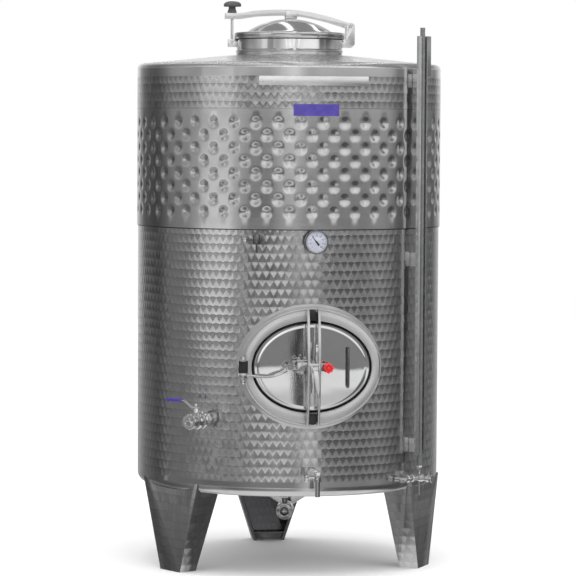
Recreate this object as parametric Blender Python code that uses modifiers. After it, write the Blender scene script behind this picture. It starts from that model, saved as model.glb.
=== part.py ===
"""A standing stainless tank of about 1500 litres on three folded legs.

Metres, +Z up, the manway faces -Y.  Every piece is modelled in the tank's own
frame, with the tank's axis on the empty "tank_axis", which stands behind the
origin so that the origin is the bottom centre of the whole tank.
"""

import math

import bmesh
import bpy
from mathutils import Matrix, Vector

# Driving dimensions of the vessel
GAP = 0.0003
FACETS = 90
NECK_FACETS = 60
WALL = 0.003
SHELL_RADIUS = 0.565
JACKET_RADIUS = 0.569
KNUCKLE_TOP_Z = 1.865
TOP_KNUCKLE = 0.022
BAND_TOP_Z = KNUCKLE_TOP_Z - TOP_KNUCKLE
JACKET_TOP_Z = 1.697
JACKET_BOTTOM_Z = 1.264
BOTTOM_KNUCKLE = 0.035
WALL_BOTTOM_Z = 0.335
BOTTOM_Z = WALL_BOTTOM_Z - BOTTOM_KNUCKLE
SUMP_RADIUS = 0.156
SUMP_TOP_Z = 0.290
SUMP_TIP_RADIUS = 0.020
SUMP_TIP_Z = 0.203

# Manhole, lid and its clamp
NECK_RADIUS = 0.199
NECK_BASE_Z = 1.900
NECK_TOP_Z = 1.9575
LID_RADIUS = 0.2075
LID_TOP_Z = 1.983
SKIRT_Z = 1.9635
DOME_RADIUS = 0.163
DOME_BASE_Z = 1.986
DOME_TOP_Z = 2.036
LID_PIN = Vector((0.2313, 0.0, 2.008))
BOLT_PIN = Vector((-0.217, 0.0, 1.944))
ARM_HEIGHT = 0.022
ARM_WIDTH = 0.026
ARM_LINE = (
    (-0.243, 2.0448),
    (-0.185, 2.0448),
    (-0.120, 2.0545),
    (-0.016, 2.0590),
    (0.055, 2.0535),
    (0.120, 2.0410),
    (0.180, 2.0250),
    (0.2313, 2.0080),
)
SLOT_WIDTH = 0.012
ROD_RADIUS = 0.005
EAR_INNER = 0.0135

# Manway in the front of the shell
MANWAY_Z = 0.773
FRAME_HALF = (0.262, 0.225)
FOLD_HALF = (0.250, 0.207)
OPENING_HALF = (0.2175, 0.165)
HOLE_HALF = (0.232, 0.180)
DOOR_HALF = (0.2095, 0.1570)
SEAL_HALF = (0.2125, 0.1600)
FRAME_FACE = 0.590
FRAME_LIP = 0.572
HINGE_X = -0.251
HINGE_DEPTH = 0.612
YOKE_HALF_HEIGHT = 0.2086
YOKE_BAR = 0.008
YOKE_BAR_X = 0.0195
YOKE_DEPTH = 0.030
YOKE_BOW = 0.026
LEVER_DEPTH = 0.6617
RED_KNOB_X = 0.051

# Fittings: angle from the front towards +X in degrees, and height
GAUGE_ANGLE = 45.0
GAUGE_BACK = 0.5915
GAUGE_TOP_Z = 1.9625
GAUGE_BOTTOM_Z = 0.436
THERMOMETER = (1.2, 1.220)
UPPER_TAP = (-18.8, 1.228)
LOWER_TAP = (1.5, 0.380)
SIDE_VALVE = (-38.5, 0.576)
DRAIN_VALVE = (-10.5, 0.2115)
LABEL = (1.5, 1.691)
RAIL_HALF = 0.198
RAIL_DEPTH = 0.602
RAIL_Z = (1.7785, 1.8116)

# Legs
LEG_FACE = 0.547
LEG_ANGLES = {"front_left": -60.0, "front_right": 60.0, "back": 180.0}
LEG_HALF_FOOT = 0.060
LEG_SPREAD = 0.32
LEG_DEPTH_FOOT = 0.073
LEG_DEPTH_GROWTH = 0.105

# The axis stands behind the origin by half of what the front reaches further
FRONT_REACH = 0.681
AXIS_Y = (FRONT_REACH - JACKET_RADIUS) / 2

STEEL = ((0.62, 0.62, 0.63), 0.28, 1.0)
POLISHED = ((0.78, 0.78, 0.79), 0.08, 1.0)
BRUSHED = ((0.66, 0.66, 0.67), 0.35, 1.0)
BLACK = ((0.02, 0.02, 0.02), 0.6, 0.0)
DARK_GREY = ((0.07, 0.07, 0.075), 0.5, 0.0)
RED = ((0.75, 0.02, 0.03), 0.3, 0.0)
BLUE = ((0.03, 0.03, 0.30), 0.4, 0.0)
DIAL = ((0.86, 0.85, 0.90), 0.4, 0.0)
PLASTIC = ((0.75, 0.77, 0.78), 0.2, 0.0)


def clear_scene():
    for item in list(bpy.data.objects):
        bpy.data.objects.remove(item, do_unlink=True)


def collection(name):
    found = bpy.data.collections.get(name)
    if found is None:
        found = bpy.data.collections.new(name)
        bpy.context.scene.collection.children.link(found)
    return found


def put_in(obj, name):
    for holder in list(obj.users_collection):
        holder.objects.unlink(obj)
    collection(name).objects.link(obj)


def material(name, look):
    colour, roughness, metallic = look
    made = bpy.data.materials.new(name)
    made.use_nodes = True
    shader = made.node_tree.nodes["Principled BSDF"]
    shader.inputs["Base Color"].default_value = (*colour, 1.0)
    shader.inputs["Roughness"].default_value = roughness
    shader.inputs["Metallic"].default_value = metallic
    return made


def empty(name, parent=None, location=(0, 0, 0), turn=0.0):
    made = bpy.data.objects.new(name, None)
    made.location = location
    made.rotation_euler = (0, 0, math.radians(turn))
    made.parent = parent
    put_in(made, "storage_tank")
    return made


def pivot(name, frame, location):
    """An empty on a joint's axis, whose children keep the frame's coordinates."""
    return empty(name, frame, location)


def finish(obj, name, look, parent, smooth=True):
    """Names a piece, gives it its material and hangs it on its parent."""
    obj.name = name
    obj.data.materials.clear()
    obj.data.materials.append(material(name, look))
    obj.parent = parent
    if parent.name.endswith("_pivot"):
        obj.matrix_parent_inverse = Matrix.Translation(-parent.location)
    if smooth:
        obj.data.shade_smooth()
        obj.data.set_sharp_from_angle(angle=math.radians(30))
    put_in(obj, "storage_tank")
    return obj


def mesh_object(name, mesh):
    made = bpy.data.objects.new(name, mesh)
    put_in(made, "storage_tank")
    return made


def apply_transform(obj):
    obj.data.transform(obj.matrix_basis)
    obj.matrix_basis = Matrix.Identity(4)


def baked(obj):
    """Replaces an object's modifiers by the mesh that they make."""
    graph = bpy.context.evaluated_depsgraph_get()
    graph.update()
    shape = obj.evaluated_get(graph)
    mesh = bpy.data.meshes.new_from_object(shape)
    work = bmesh.new()
    work.from_mesh(mesh)
    bmesh.ops.remove_doubles(work, verts=work.verts, dist=0.00001)
    bmesh.ops.recalc_face_normals(work, faces=work.faces)
    work.to_mesh(mesh)
    work.free()
    made = mesh_object(obj.name, mesh)
    made.matrix_basis = obj.matrix_basis
    bpy.data.objects.remove(obj, do_unlink=True)
    return made


def box(size, centre):
    bpy.ops.mesh.primitive_cube_add(size=1, location=centre)
    made = bpy.context.object
    made.scale = size
    apply_transform(made)
    return made


def cylinder(radius, depth, centre, axis="Z", sides=32):
    """A round bar centred on a point, along X, Y or Z."""
    turn = {"X": (0, math.pi / 2, 0), "Y": (math.pi / 2, 0, 0), "Z": (0, 0, 0)}[axis]
    bpy.ops.mesh.primitive_cylinder_add(
        vertices=sides, radius=radius, depth=depth, location=centre, rotation=turn
    )
    made = bpy.context.object
    apply_transform(made)
    return made


def outline(points, thickness, plane):
    """A flat outline, thickened both ways from its plane: XY, XZ or YZ."""
    curve = bpy.data.curves.new("outline", "CURVE")
    curve.dimensions = "2D"
    curve.fill_mode = "BOTH"
    curve.extrude = thickness / 2
    spline = curve.splines.new("POLY")
    spline.points.add(len(points) - 1)
    for point, (a, b) in zip(spline.points, points):
        point.co = (a, b, 0, 1)
    spline.use_cyclic_u = True
    made = mesh_object("outline", curve)
    turns = {
        "XY": Matrix.Identity(4),
        "XZ": Matrix.Rotation(math.pi / 2, 4, "X"),
        "YZ": Matrix(((0, 0, 1, 0), (1, 0, 0, 0), (0, 1, 0, 0), (0, 0, 0, 1))),
    }
    made = baked(made)
    made.data.transform(turns[plane])
    return made


def tube(points, radius, resolution=2):
    """A bent round bar through a few points."""
    curve = bpy.data.curves.new("bar", "CURVE")
    curve.dimensions = "3D"
    curve.bevel_depth = radius
    curve.bevel_resolution = resolution
    curve.use_fill_caps = True
    spline = curve.splines.new("POLY")
    spline.points.add(len(points) - 1)
    for point, place in zip(spline.points, points):
        point.co = (*place, 1)
    return baked(mesh_object("bar", curve))


def turned(profile, closed=True, steps=FACETS, axis="Z"):
    """A profile of (radius, height) turned about Z, then laid along -Y on request."""
    mesh = bpy.data.meshes.new("turned")
    count = len(profile)
    edges = [(i, i + 1) for i in range(count - 1)]
    if closed:
        edges.append((count - 1, 0))
    mesh.from_pydata([(r, 0, z) for r, z in profile], edges, [])
    made = mesh_object("turned", mesh)
    screw = made.modifiers.new("Turn", "SCREW")
    screw.angle = math.tau
    screw.steps = steps
    screw.render_steps = steps
    screw.use_merge_vertices = True
    screw.merge_threshold = 0.00001
    made = baked(made)
    if axis == "Y":
        made.data.transform(Matrix.Rotation(math.pi / 2, 4, "X"))
    return made


def join(target, *others):
    """Welds other solids to a solid and makes one mesh of them."""
    for other in others:
        weld = target.modifiers.new("Weld", "BOOLEAN")
        weld.operation = "UNION"
        weld.object = other
    made = baked(target)
    for other in others:
        bpy.data.objects.remove(other, do_unlink=True)
    return made


def cut(target, *tools):
    """Cuts the tools out of a solid and makes one mesh of what is left."""
    for tool in tools:
        removal = target.modifiers.new("Cut", "BOOLEAN")
        removal.operation = "DIFFERENCE"
        removal.object = tool
    made = baked(target)
    for tool in tools:
        bpy.data.objects.remove(tool, do_unlink=True)
    return made


def arc_points(centre, radius, start, end, count):
    """Points of an arc from one angle to another, in degrees."""
    points = []
    for i in range(count + 1):
        angle = math.radians(start + (end - start) * i / count)
        points.append(
            (centre[0] + radius * math.cos(angle), centre[1] + radius * math.sin(angle))
        )
    return points


def smooth_line(points, steps=4):
    """A Catmull-Rom line through points of any dimension."""
    places = [Vector(p) for p in points]
    places = [2 * places[0] - places[1], *places, 2 * places[-1] - places[-2]]
    line = []
    for a, b, c, d in zip(places, places[1:], places[2:], places[3:]):
        for i in range(steps):
            t = i / steps
            line.append(
                0.5
                * (
                    2 * b
                    + (c - a) * t
                    + (2 * a - 5 * b + 4 * c - d) * t * t
                    + (3 * b - 3 * c + d - a) * t**3
                )
            )
    line.append(places[-2])
    return line


def wall_ring(radius, thickness, low, high):
    """A rolled wall that closes on itself."""
    inner = radius - thickness
    return turned([(radius, high), (radius, low), (inner, low), (inner, high)])


def wall_arc(radius, thickness, low, high, first, last):
    """A rolled wall plate between two angles, counted from the front."""
    start = math.radians(first - 90) + GAP / radius / 2
    spot = (radius * math.cos(start), radius * math.sin(start))
    mesh = bpy.data.meshes.new("wall")
    mesh.from_pydata([(*spot, high), (*spot, low)], [(0, 1)], [])
    made = mesh_object("wall", mesh)
    steps = max(3, round((last - first) / 360 * FACETS))
    screw = made.modifiers.new("Turn", "SCREW")
    screw.angle = math.radians(last - first) - GAP / radius
    screw.steps = steps
    screw.render_steps = steps
    screw.use_merge_vertices = False
    shell = made.modifiers.new("Thickness", "SOLIDIFY")
    shell.thickness = thickness
    shell.offset = -1
    shell.use_even_offset = True
    return baked(made)


def oval_loft(rings):
    """A closed band through ovals given as (half width, half height, depth)."""
    sides = 56
    work = bmesh.new()
    loops = []
    for half_x, half_z, depth in rings:
        loop = []
        for i in range(sides):
            angle = math.tau * i / sides
            x = half_x * math.cos(angle)
            z = half_z * math.sin(angle)
            loop.append(work.verts.new((x, -depth(x), MANWAY_Z + z)))
        loops.append(loop)
    for ring, after in zip(loops, loops[1:] + loops[:1]):
        for i in range(sides):
            j = (i + 1) % sides
            work.faces.new((ring[i], ring[j], after[j], after[i]))
    bmesh.ops.recalc_face_normals(work, faces=work.faces)
    mesh = bpy.data.meshes.new("oval")
    work.to_mesh(mesh)
    work.free()
    return mesh_object("oval", mesh)


def shell_walls(axis):
    """The rolled walls, the jacket's skin and the plain band above it."""
    front = wall_arc(SHELL_RADIUS, WALL, WALL_BOTTOM_Z, JACKET_BOTTOM_Z, -30, 30)
    cutter = cylinder(1.0, 0.5, (0, -SHELL_RADIUS, MANWAY_Z), "Y", 56)
    cutter.data.transform(Matrix.Translation((0, 0, -MANWAY_Z)))
    cutter.data.transform(Matrix.Diagonal((*[HOLE_HALF[0], 1.0, HOLE_HALF[1]], 1.0)))
    cutter.data.transform(Matrix.Translation((0, 0, MANWAY_Z)))
    finish(cut(front, cutter), "shell_wall_front", STEEL, axis)
    for side, first, last in (("right", 30, 130), ("back", 130, 230), ("left", 230, 330)):
        plate = wall_arc(
            SHELL_RADIUS, WALL, WALL_BOTTOM_Z, JACKET_BOTTOM_Z, first, last
        )
        finish(plate, "shell_wall_" + side, STEEL, axis)
    seam = JACKET_BOTTOM_Z + GAP
    upper = wall_ring(SHELL_RADIUS, WALL, seam, JACKET_TOP_Z)
    finish(upper, "shell_wall_upper", STEEL, axis)
    skin = JACKET_RADIUS - SHELL_RADIUS - GAP
    jacket = wall_ring(JACKET_RADIUS, skin, seam, JACKET_TOP_Z)
    finish(jacket, "cooling_jacket", BRUSHED, axis)
    band = wall_ring(JACKET_RADIUS, 2 * WALL, JACKET_TOP_Z + GAP, BAND_TOP_Z)
    finish(band, "shell_band_top", STEEL, axis)


def ends(axis):
    """The roof with its manhole hole, and the bottom with its drain sump."""
    edge = JACKET_RADIUS - TOP_KNUCKLE
    base = BAND_TOP_Z + GAP
    hole = NECK_RADIUS + GAP
    outer = arc_points((edge, base), TOP_KNUCKLE, 90, 0, 4)
    inner = arc_points((edge, base), TOP_KNUCKLE - WALL, 0, 90, 3)
    profile = [(hole, NECK_BASE_Z), *outer, *inner, (hole, NECK_BASE_Z - WALL)]
    finish(turned(profile), "roof", STEEL, axis)
    edge = SHELL_RADIUS - BOTTOM_KNUCKLE
    base = WALL_BOTTOM_Z - GAP
    outer = arc_points((edge, base), BOTTOM_KNUCKLE, 0, -90, 4)
    inner = arc_points((edge, base), BOTTOM_KNUCKLE - WALL, -90, 0, 3)
    rim = SUMP_RADIUS + GAP
    profile = [*outer, (rim, SUMP_TOP_Z), (rim, SUMP_TOP_Z + WALL), *inner]
    finish(turned(profile), "bottom_head", STEEL, axis)
    slope = (SUMP_TOP_Z - SUMP_TIP_Z) / (SUMP_RADIUS - SUMP_TIP_RADIUS)
    lift = WALL * math.hypot(1, slope)
    profile = [
        (0, SUMP_TIP_Z + lift),
        (SUMP_TIP_RADIUS, SUMP_TIP_Z + lift),
        (SUMP_RADIUS, SUMP_TOP_Z + lift),
        (SUMP_RADIUS, SUMP_TOP_Z),
        (SUMP_TIP_RADIUS, SUMP_TIP_Z),
        (0, SUMP_TIP_Z),
    ]
    sump = turned(profile, closed=False, steps=48)
    finish(sump, "drain_sump", STEEL, axis)


def tank_bottom_cutter():
    """The space that the tank's bottom fills, a gap larger all round."""
    edge = SHELL_RADIUS - BOTTOM_KNUCKLE
    knuckle = arc_points((edge, WALL_BOTTOM_Z), BOTTOM_KNUCKLE + GAP, 0, -90, 4)
    profile = [
        (0, WALL_BOTTOM_Z + 0.1),
        (SHELL_RADIUS + GAP, WALL_BOTTOM_Z + 0.1),
        *knuckle,
        (SUMP_RADIUS, SUMP_TOP_Z - GAP),
        (0, SUMP_TOP_Z - GAP),
    ]
    return turned(profile)


def manhole(axis):
    """The neck on the roof with its bead."""
    radius = NECK_RADIUS
    bead = 0.0035
    profile = [
        (radius, NECK_TOP_Z),
        (radius, 1.9220),
        (radius + bead, 1.9180),
        (radius + bead, 1.9100),
        (radius, 1.9060),
        (radius, 1.8820),
        (radius - WALL, 1.8820),
        (radius - WALL, NECK_TOP_Z),
    ]
    finish(turned(profile, steps=NECK_FACETS), "manhole_neck", POLISHED, axis)


def ear(points, inner, width, pin, hole):
    """Two ears with a hole, side by side across Y, and no plate between them."""
    ears = []
    for side in (-1, 1):
        plate = outline(points, width, "XZ")
        plate.data.transform(Matrix.Translation((0, side * (inner + width / 2), 0)))
        ears.append(plate)
    drill = cylinder(hole, 0.2, (pin.x, 0, pin.z), "Y", 24)
    pair = join(ears[0], ears[1])
    return cut(pair, drill)


def lid_brackets(axis):
    """The bracket that carries the lid's arm and the one for the swing bolt."""
    face = NECK_RADIUS + GAP
    top = arc_points((LID_PIN.x, LID_PIN.z), 0.0152, 0, 180, 10)
    points = [
        (face, 1.930),
        (0.236, 1.930),
        (0.2465, 1.943),
        *top,
        (0.2140, 1.985),
        (0.2140, 1.9565),
        (face, 1.9565),
    ]
    ears = ear(points, EAR_INNER, 0.004, LID_PIN, 0.0043)
    back = box((0.004, 0.034, 0.026), (face + 0.002, 0, 1.943))
    finish(join(ears, back), "lid_hinge_bracket", BRUSHED, axis)
    points = [(-face, 1.929), (-0.232, 1.929), (-0.232, 1.9575), (-face, 1.9575)]
    ears = ear(points, 0.0073, 0.004, BOLT_PIN, 0.0033)
    back = box((0.004, 0.022, 0.0285), (-face - 0.002, 0, 1.94325))
    finish(join(ears, back), "bolt_bracket", BRUSHED, axis)


def lid(pivot_lid):
    """The domed lid with its skirt, and the rubber ring under its rim."""
    sphere = (DOME_RADIUS**2 + (DOME_TOP_Z - DOME_BASE_Z) ** 2) / (
        2 * (DOME_TOP_Z - DOME_BASE_Z)
    )
    centre = DOME_TOP_Z - sphere
    reach = math.degrees(math.asin(DOME_RADIUS / sphere))
    outer = arc_points((0, centre), sphere, 90, 90 - reach, 6)
    inner = arc_points((0, centre), sphere - WALL, 90 - reach, 90, 4)
    outer[0] = (0, DOME_TOP_Z)
    inner[-1] = (0, DOME_TOP_Z - WALL)
    rim = [
        (LID_RADIUS - 0.004, LID_TOP_Z + 0.001),
        (LID_RADIUS, LID_TOP_Z - 0.003),
        (LID_RADIUS, SKIRT_Z),
        (LID_RADIUS - WALL, SKIRT_Z),
        (LID_RADIUS - WALL, LID_TOP_Z - WALL),
    ]
    shell = turned([*outer, *rim, *inner], closed=False, steps=NECK_FACETS)
    finish(shell, "lid", POLISHED, pivot_lid)
    width = LID_RADIUS - WALL - 0.0005
    low = NECK_TOP_Z + GAP
    high = LID_TOP_Z - WALL - GAP
    ring = [(width, high), (width, low), (width - 0.015, low), (width - 0.015, high)]
    finish(turned(ring, steps=NECK_FACETS), "lid_gasket", BLACK, pivot_lid)


def clamp_arm(pivot_lid):
    """The bowed arm with its fork, its eye and the saddle that holds the lid."""
    line = smooth_line([Vector((x, z)) for x, z in ARM_LINE], 4)
    upper = []
    lower = []
    for before, here, after in zip([line[0], *line], line, [*line[1:], line[-1]]):
        along = (after - before).normalized()
        normal = Vector((-along.y, along.x))
        upper.append(tuple(here + normal * ARM_HEIGHT / 2))
        lower.append(tuple(here - normal * ARM_HEIGHT / 2))
    arm = outline([*upper, *reversed(lower)], ARM_WIDTH, "XZ")
    eye = cylinder(ARM_HEIGHT / 2 + 0.0005, ARM_WIDTH, LID_PIN, "Y", 32)
    slot_end = BOLT_PIN.x + SLOT_WIDTH / 2
    slot = box((0.1, SLOT_WIDTH, 0.1), (slot_end - 0.05, 0, 2.045))
    pin_hole = cylinder(0.0043, 0.1, LID_PIN, "Y", 24)
    arm = cut(join(arm, eye), slot, pin_hole)
    finish(arm, "clamp_arm", BRUSHED, pivot_lid)
    pin = cylinder(0.004, 2 * EAR_INNER + 0.012, LID_PIN, "Y", 24)
    finish(pin, "lid_hinge_pin", STEEL, pivot_lid.parent)
    middle = 0.0055
    half = ARM_WIDTH / 2 + 0.0005
    foot_top = 2.0450
    foot_low = DOME_TOP_Z + GAP
    foot = box(
        (0.043, 2 * half + 0.008, foot_top - foot_low),
        (middle, 0, (foot_top + foot_low) / 2),
    )
    cheeks = []
    for side in (-1, 1):
        centre = (middle, side * (half + 0.002), (foot_low + 2.067) / 2)
        cheeks.append(box((0.043, 0.004, 2.067 - foot_low), centre))
    finish(join(foot, *cheeks), "arm_saddle", BRUSHED, pivot_lid)


def lobed(radius, lobes, depth, count=60):
    """An outline whose edge waves in and out."""
    points = []
    for i in range(count):
        angle = math.tau * i / count
        reach = radius * (1 - depth * (1 - math.cos(lobes * angle)) / 2)
        points.append((reach * math.cos(angle), reach * math.sin(angle)))
    return points


def clamp_knob(pivot_knob):
    """The grip that presses the arm down."""
    seat = 2.0448 + ARM_HEIGHT / 2 + GAP
    top = 2.1055
    neck = turned(
        [(0, top - 0.010), (0.0125, top - 0.010), (0.0125, top - 0.022),
         (0.0150, seat + 0.004), (0.0150, seat), (0, seat)], closed=False, steps=32
    )
    cap = outline(lobed(0.0335, 5, 0.22), 0.018, "XY")
    cap.data.transform(Matrix.Translation((0, 0, top - 0.009)))
    knob = join(neck, cap)
    knob.data.transform(Matrix.Translation((BOLT_PIN.x, 0, 0)))
    finish(knob, "clamp_knob", DARK_GREY, pivot_knob)


def swing_bolt(pivot_bolt):
    """The rod that stands in the arm's fork, with the eye and pin it turns on."""
    top = 2.0448 + ARM_HEIGHT / 2 - 0.0015
    length = top - BOLT_PIN.z
    rod = cylinder(ROD_RADIUS, length, (BOLT_PIN.x, 0, BOLT_PIN.z + length / 2), "Z", 24)
    eye = cylinder(0.0095, 0.0135, BOLT_PIN, "Y", 24)
    pin = cylinder(0.0030, 0.0250, BOLT_PIN, "Y", 24)
    finish(join(eye, rod, pin), "swing_bolt", STEEL, pivot_bolt)


def on_shell(extra):
    radius = SHELL_RADIUS + extra
    return lambda x: math.sqrt(radius**2 - x**2)


def level(depth):
    return lambda x: depth


def manway_frame(axis):
    """The pressed oval collar, from the shell up to a flat face and in to a lip."""
    fold = FOLD_HALF
    rings = [
        (*FRAME_HALF, on_shell(GAP)),
        (*FRAME_HALF, on_shell(WALL)),
        (fold[0], fold[1], level(FRAME_FACE)),
        (*OPENING_HALF, level(FRAME_FACE)),
        (*OPENING_HALF, level(FRAME_LIP)),
        (OPENING_HALF[0] + WALL, OPENING_HALF[1] + WALL, level(FRAME_LIP)),
        (OPENING_HALF[0] + WALL, OPENING_HALF[1] + WALL, level(FRAME_FACE - WALL)),
        (fold[0] - WALL, fold[1] - WALL, level(FRAME_FACE - WALL)),
        (FRAME_HALF[0] - 0.004, FRAME_HALF[1] - 0.004, on_shell(GAP)),
    ]
    finish(oval_loft(rings), "manway_frame", BRUSHED, axis)


def hinge_block(axis):
    """The black block on the frame and the upright pin through it."""
    block = box((0.036, 0.0357, 0.0715), (HINGE_X, -0.60815, 0.76515))
    slot = box((0.05, 0.0285, 0.0131), (HINGE_X, -0.61175, 0.7466))
    bore = cylinder(0.0053, 0.2, (HINGE_X, -HINGE_DEPTH, 0.76), "Z", 24)
    finish(cut(block, slot, bore), "manway_hinge_block", BLACK, axis)
    rod = cylinder(0.0050, 0.094, (HINGE_X, -HINGE_DEPTH, 0.7645), "Z", 24)
    nuts = []
    for seat, way in ((0.8012, 1), (0.7290, -1)):
        nut = turned(
            [(0, 0.016), (0.006, 0.0135), (0.0085, 0.008), (0.0095, 0.006),
             (0.0095, 0), (0, 0)], closed=False, steps=24
        )
        nut.data.transform(Matrix.Rotation(0 if way > 0 else math.pi, 4, "X"))
        nut.data.transform(Matrix.Translation((HINGE_X, -HINGE_DEPTH, seat)))
        nuts.append(nut)
    finish(join(rod, *nuts), "manway_hinge_pin", POLISHED, axis)


def door(pivot_door):
    """The dished oval door and the seal round its edge."""
    half = DOOR_HALF[1]
    stretch = Matrix.Diagonal((DOOR_HALF[0] / half, 1, 1, 1))
    place = Matrix.Translation((0, 0, MANWAY_Z))
    front = [(1.0, 0.585), (0.965, 0.5885), (0.70, 0.5925), (0.35, 0.5945), (0, 0.595)]
    profile = [(scale * half, depth) for scale, depth in reversed(front)]
    profile += [(half, 0.574), (half - WALL, 0.574), (half - WALL, 0.5835)]
    profile += [(scale * half, depth - WALL) for scale, depth in front[2:]]
    plate = turned(profile, closed=False, steps=56, axis="Y")
    plate.data.transform(place @ stretch)
    finish(plate, "manway_door", POLISHED, pivot_door)
    rings = [
        (*SEAL_HALF, level(0.5865)),
        (DOOR_HALF[0] + GAP, DOOR_HALF[1] + GAP, level(0.5865)),
        (DOOR_HALF[0] + GAP, DOOR_HALF[1] + GAP, level(0.575)),
        (*SEAL_HALF, level(0.575)),
    ]
    finish(oval_loft(rings), "manway_seal", BLACK, pivot_door)
    grip = tube(
        smooth_line(
            [(0.129, -0.5927, 0.846), (0.129, -0.606, 0.843), (0.129, -0.612, 0.830),
             (0.129, -0.612, 0.716), (0.129, -0.606, 0.703), (0.129, -0.5927, 0.700)], 3
        ),
        0.004,
    )
    finish(grip, "door_handle", POLISHED, pivot_door)


def yoke(pivot_door):
    """The bowed twin bars across the door, their block, pin and rubber pads."""
    rise = [(-YOKE_HALF_HEIGHT + 2 * YOKE_HALF_HEIGHT * i / 16) for i in range(17)]
    bow = [0.596 + YOKE_BOW * (1 - (z / YOKE_HALF_HEIGHT) ** 2) for z in rise]
    back = [(-depth, MANWAY_Z + z) for depth, z in zip(bow, rise)]
    front = [(-depth - YOKE_DEPTH, MANWAY_Z + z) for depth, z in zip(bow, rise)]
    bars = []
    for side in (-1, 1):
        bar = outline([*back, *reversed(front)], YOKE_BAR, "YZ")
        bar.data.transform(Matrix.Translation((side * YOKE_BAR_X, 0, 0)))
        bars.append(bar)
    block = box((0.033, 0.026, 0.034), (0, -0.635, MANWAY_Z))
    stud = cylinder(0.008, 0.0295, (0, -0.61015, MANWAY_Z), "Y", 24)
    ears = []
    for side in (-1, 1):
        ears.append(box((0.005, 0.030, 0.026), (side * 0.0135, -0.6605, 0.770)))
    pin = cylinder(0.0040, 0.032, (0, -LEVER_DEPTH, 0.770), "X", 24)
    lug = box((0.038, 0.008, 0.024), (0.0400, -0.630, MANWAY_Z))
    made = join(bars[0], block, bars[1], stud, *ears, pin, lug)
    finish(made, "door_yoke", BRUSHED, pivot_door)
    for end, way in (("upper", 1), ("lower", -1)):
        pad = box((0.0304, 0.026, 0.0395), (0, -0.6033, MANWAY_Z + way * 0.1863))
        finish(pad, "yoke_pad_" + end, BLACK, pivot_door)


def hinge_arm(pivot_door):
    """The bent arm from the hinge to the spindle beside the yoke."""
    line = smooth_line(
        [(HINGE_X + 0.009, -0.612, 0.7466), (-0.224, -0.615, 0.7465),
         (-0.190, -0.624, 0.7415), (-0.150, -0.631, 0.7440),
         (-0.115, -0.636, 0.7555), (-0.090, -0.637, 0.7690)], 3
    )
    rod = tube(line, 0.005, 3)
    eye = cylinder(0.0130, 0.0125, (HINGE_X, -HINGE_DEPTH, 0.7466), "Z", 32)
    boss = cylinder(0.0100, 0.022, (-0.089, -0.637, MANWAY_Z), "X", 32)
    end = -YOKE_BAR_X - YOKE_BAR / 2 - GAP
    spindle = cylinder(0.0050, end + 0.085, ((end - 0.085) / 2, -0.637, MANWAY_Z), "X", 24)
    nut = cylinder(0.0125, 0.012, (-0.038, -0.637, MANWAY_Z), "X", 6)
    washer = cylinder(0.0110, 0.004, (end - 0.0022, -0.637, MANWAY_Z), "X", 32)
    bore = cylinder(0.0053, 0.1, (HINGE_X, -HINGE_DEPTH, 0.7466), "Z", 24)
    made = cut(join(eye, rod, boss, spindle, nut, washer), bore)
    finish(made, "hinge_arm", POLISHED, pivot_door)


def clamp_lever(pivot_lever):
    """The lever that hangs from the yoke's pin."""
    hub = cylinder(0.0125, 0.0210, (0, -LEVER_DEPTH, 0.770), "X", 32)
    grip = tube(
        [(0.000, -LEVER_DEPTH - 0.004, 0.764), (0.003, -0.671, 0.735), (0.011, -0.675, 0.668)],
        0.0060,
    )
    bore = cylinder(0.0043, 0.1, (0, -LEVER_DEPTH, 0.770), "X", 24)
    finish(cut(join(hub, grip), bore), "clamp_lever", POLISHED, pivot_lever)


def locking_knob(pivot_knob):
    """The red lobed knob on the yoke's lug."""
    knob = outline(lobed(0.0195, 8, 0.12, 64), 0.020, "XZ")
    knob.data.transform(Matrix.Translation((RED_KNOB_X, -0.6443 - GAP, MANWAY_Z)))
    finish(knob, "locking_knob", RED, pivot_knob)


def thermometer(axis):
    """The dial case on its stem, and the dial in it."""
    angle, height = THERMOMETER
    frame = empty("thermometer_frame", axis, turn=angle)
    profile = [
        (0, 0.6015),
        (0.0380, 0.6015),
        (0.0380, 0.6080),
        (0.0430, 0.6060),
        (0.0430, 0.5870),
        (0.0100, 0.5850),
        (0.0100, 0.5655),
        (0, 0.5655),
    ]
    case = turned(profile, closed=False, steps=48, axis="Y")
    case.data.transform(Matrix.Translation((0, 0, height)))
    finish(case, "thermometer_case", POLISHED, frame)
    dial = cylinder(0.0375, 0.0020, (0, -0.6028, height), "Y", 48)
    finish(dial, "thermometer_dial", DIAL, frame)


def tap(axis, name, place, spout_radius, spout, knob_radius):
    """A small wine tap: nipple, body and spout, with a round handle beside it."""
    angle, height = place
    frame = empty(name + "_frame", axis, turn=angle)
    out = SHELL_RADIUS + 0.065
    nipple = cylinder(0.011, 0.06, (0, -SHELL_RADIUS - 0.0306, height), "Y", 24)
    flange = cylinder(0.018, 0.012, (0, -SHELL_RADIUS - 0.0065, height), "Y", 32)
    body = cylinder(0.0125, 0.034, (0, -out, height + 0.002), "Z", 24)
    pipe = cylinder(spout_radius, spout, (0, -out, height - 0.012 - spout / 2), "Z", 24)
    stem = cylinder(0.005, 0.026, (-0.022, -out, height), "X", 24)
    finish(join(nipple, flange, body, pipe, stem), name + "_body", POLISHED, frame)
    centre = Vector((-0.041, -out, height))
    turn = pivot(name + "_pivot", frame, centre)
    handle = outline(lobed(knob_radius, 6, 0.14, 48), 0.012, "XY")
    handle.data.transform(Matrix.Rotation(math.pi / 2, 4, "Y"))
    handle.data.transform(Matrix.Translation(centre - Vector((0.0003, 0, 0))))
    finish(handle, name + "_handle", POLISHED, turn)


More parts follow.
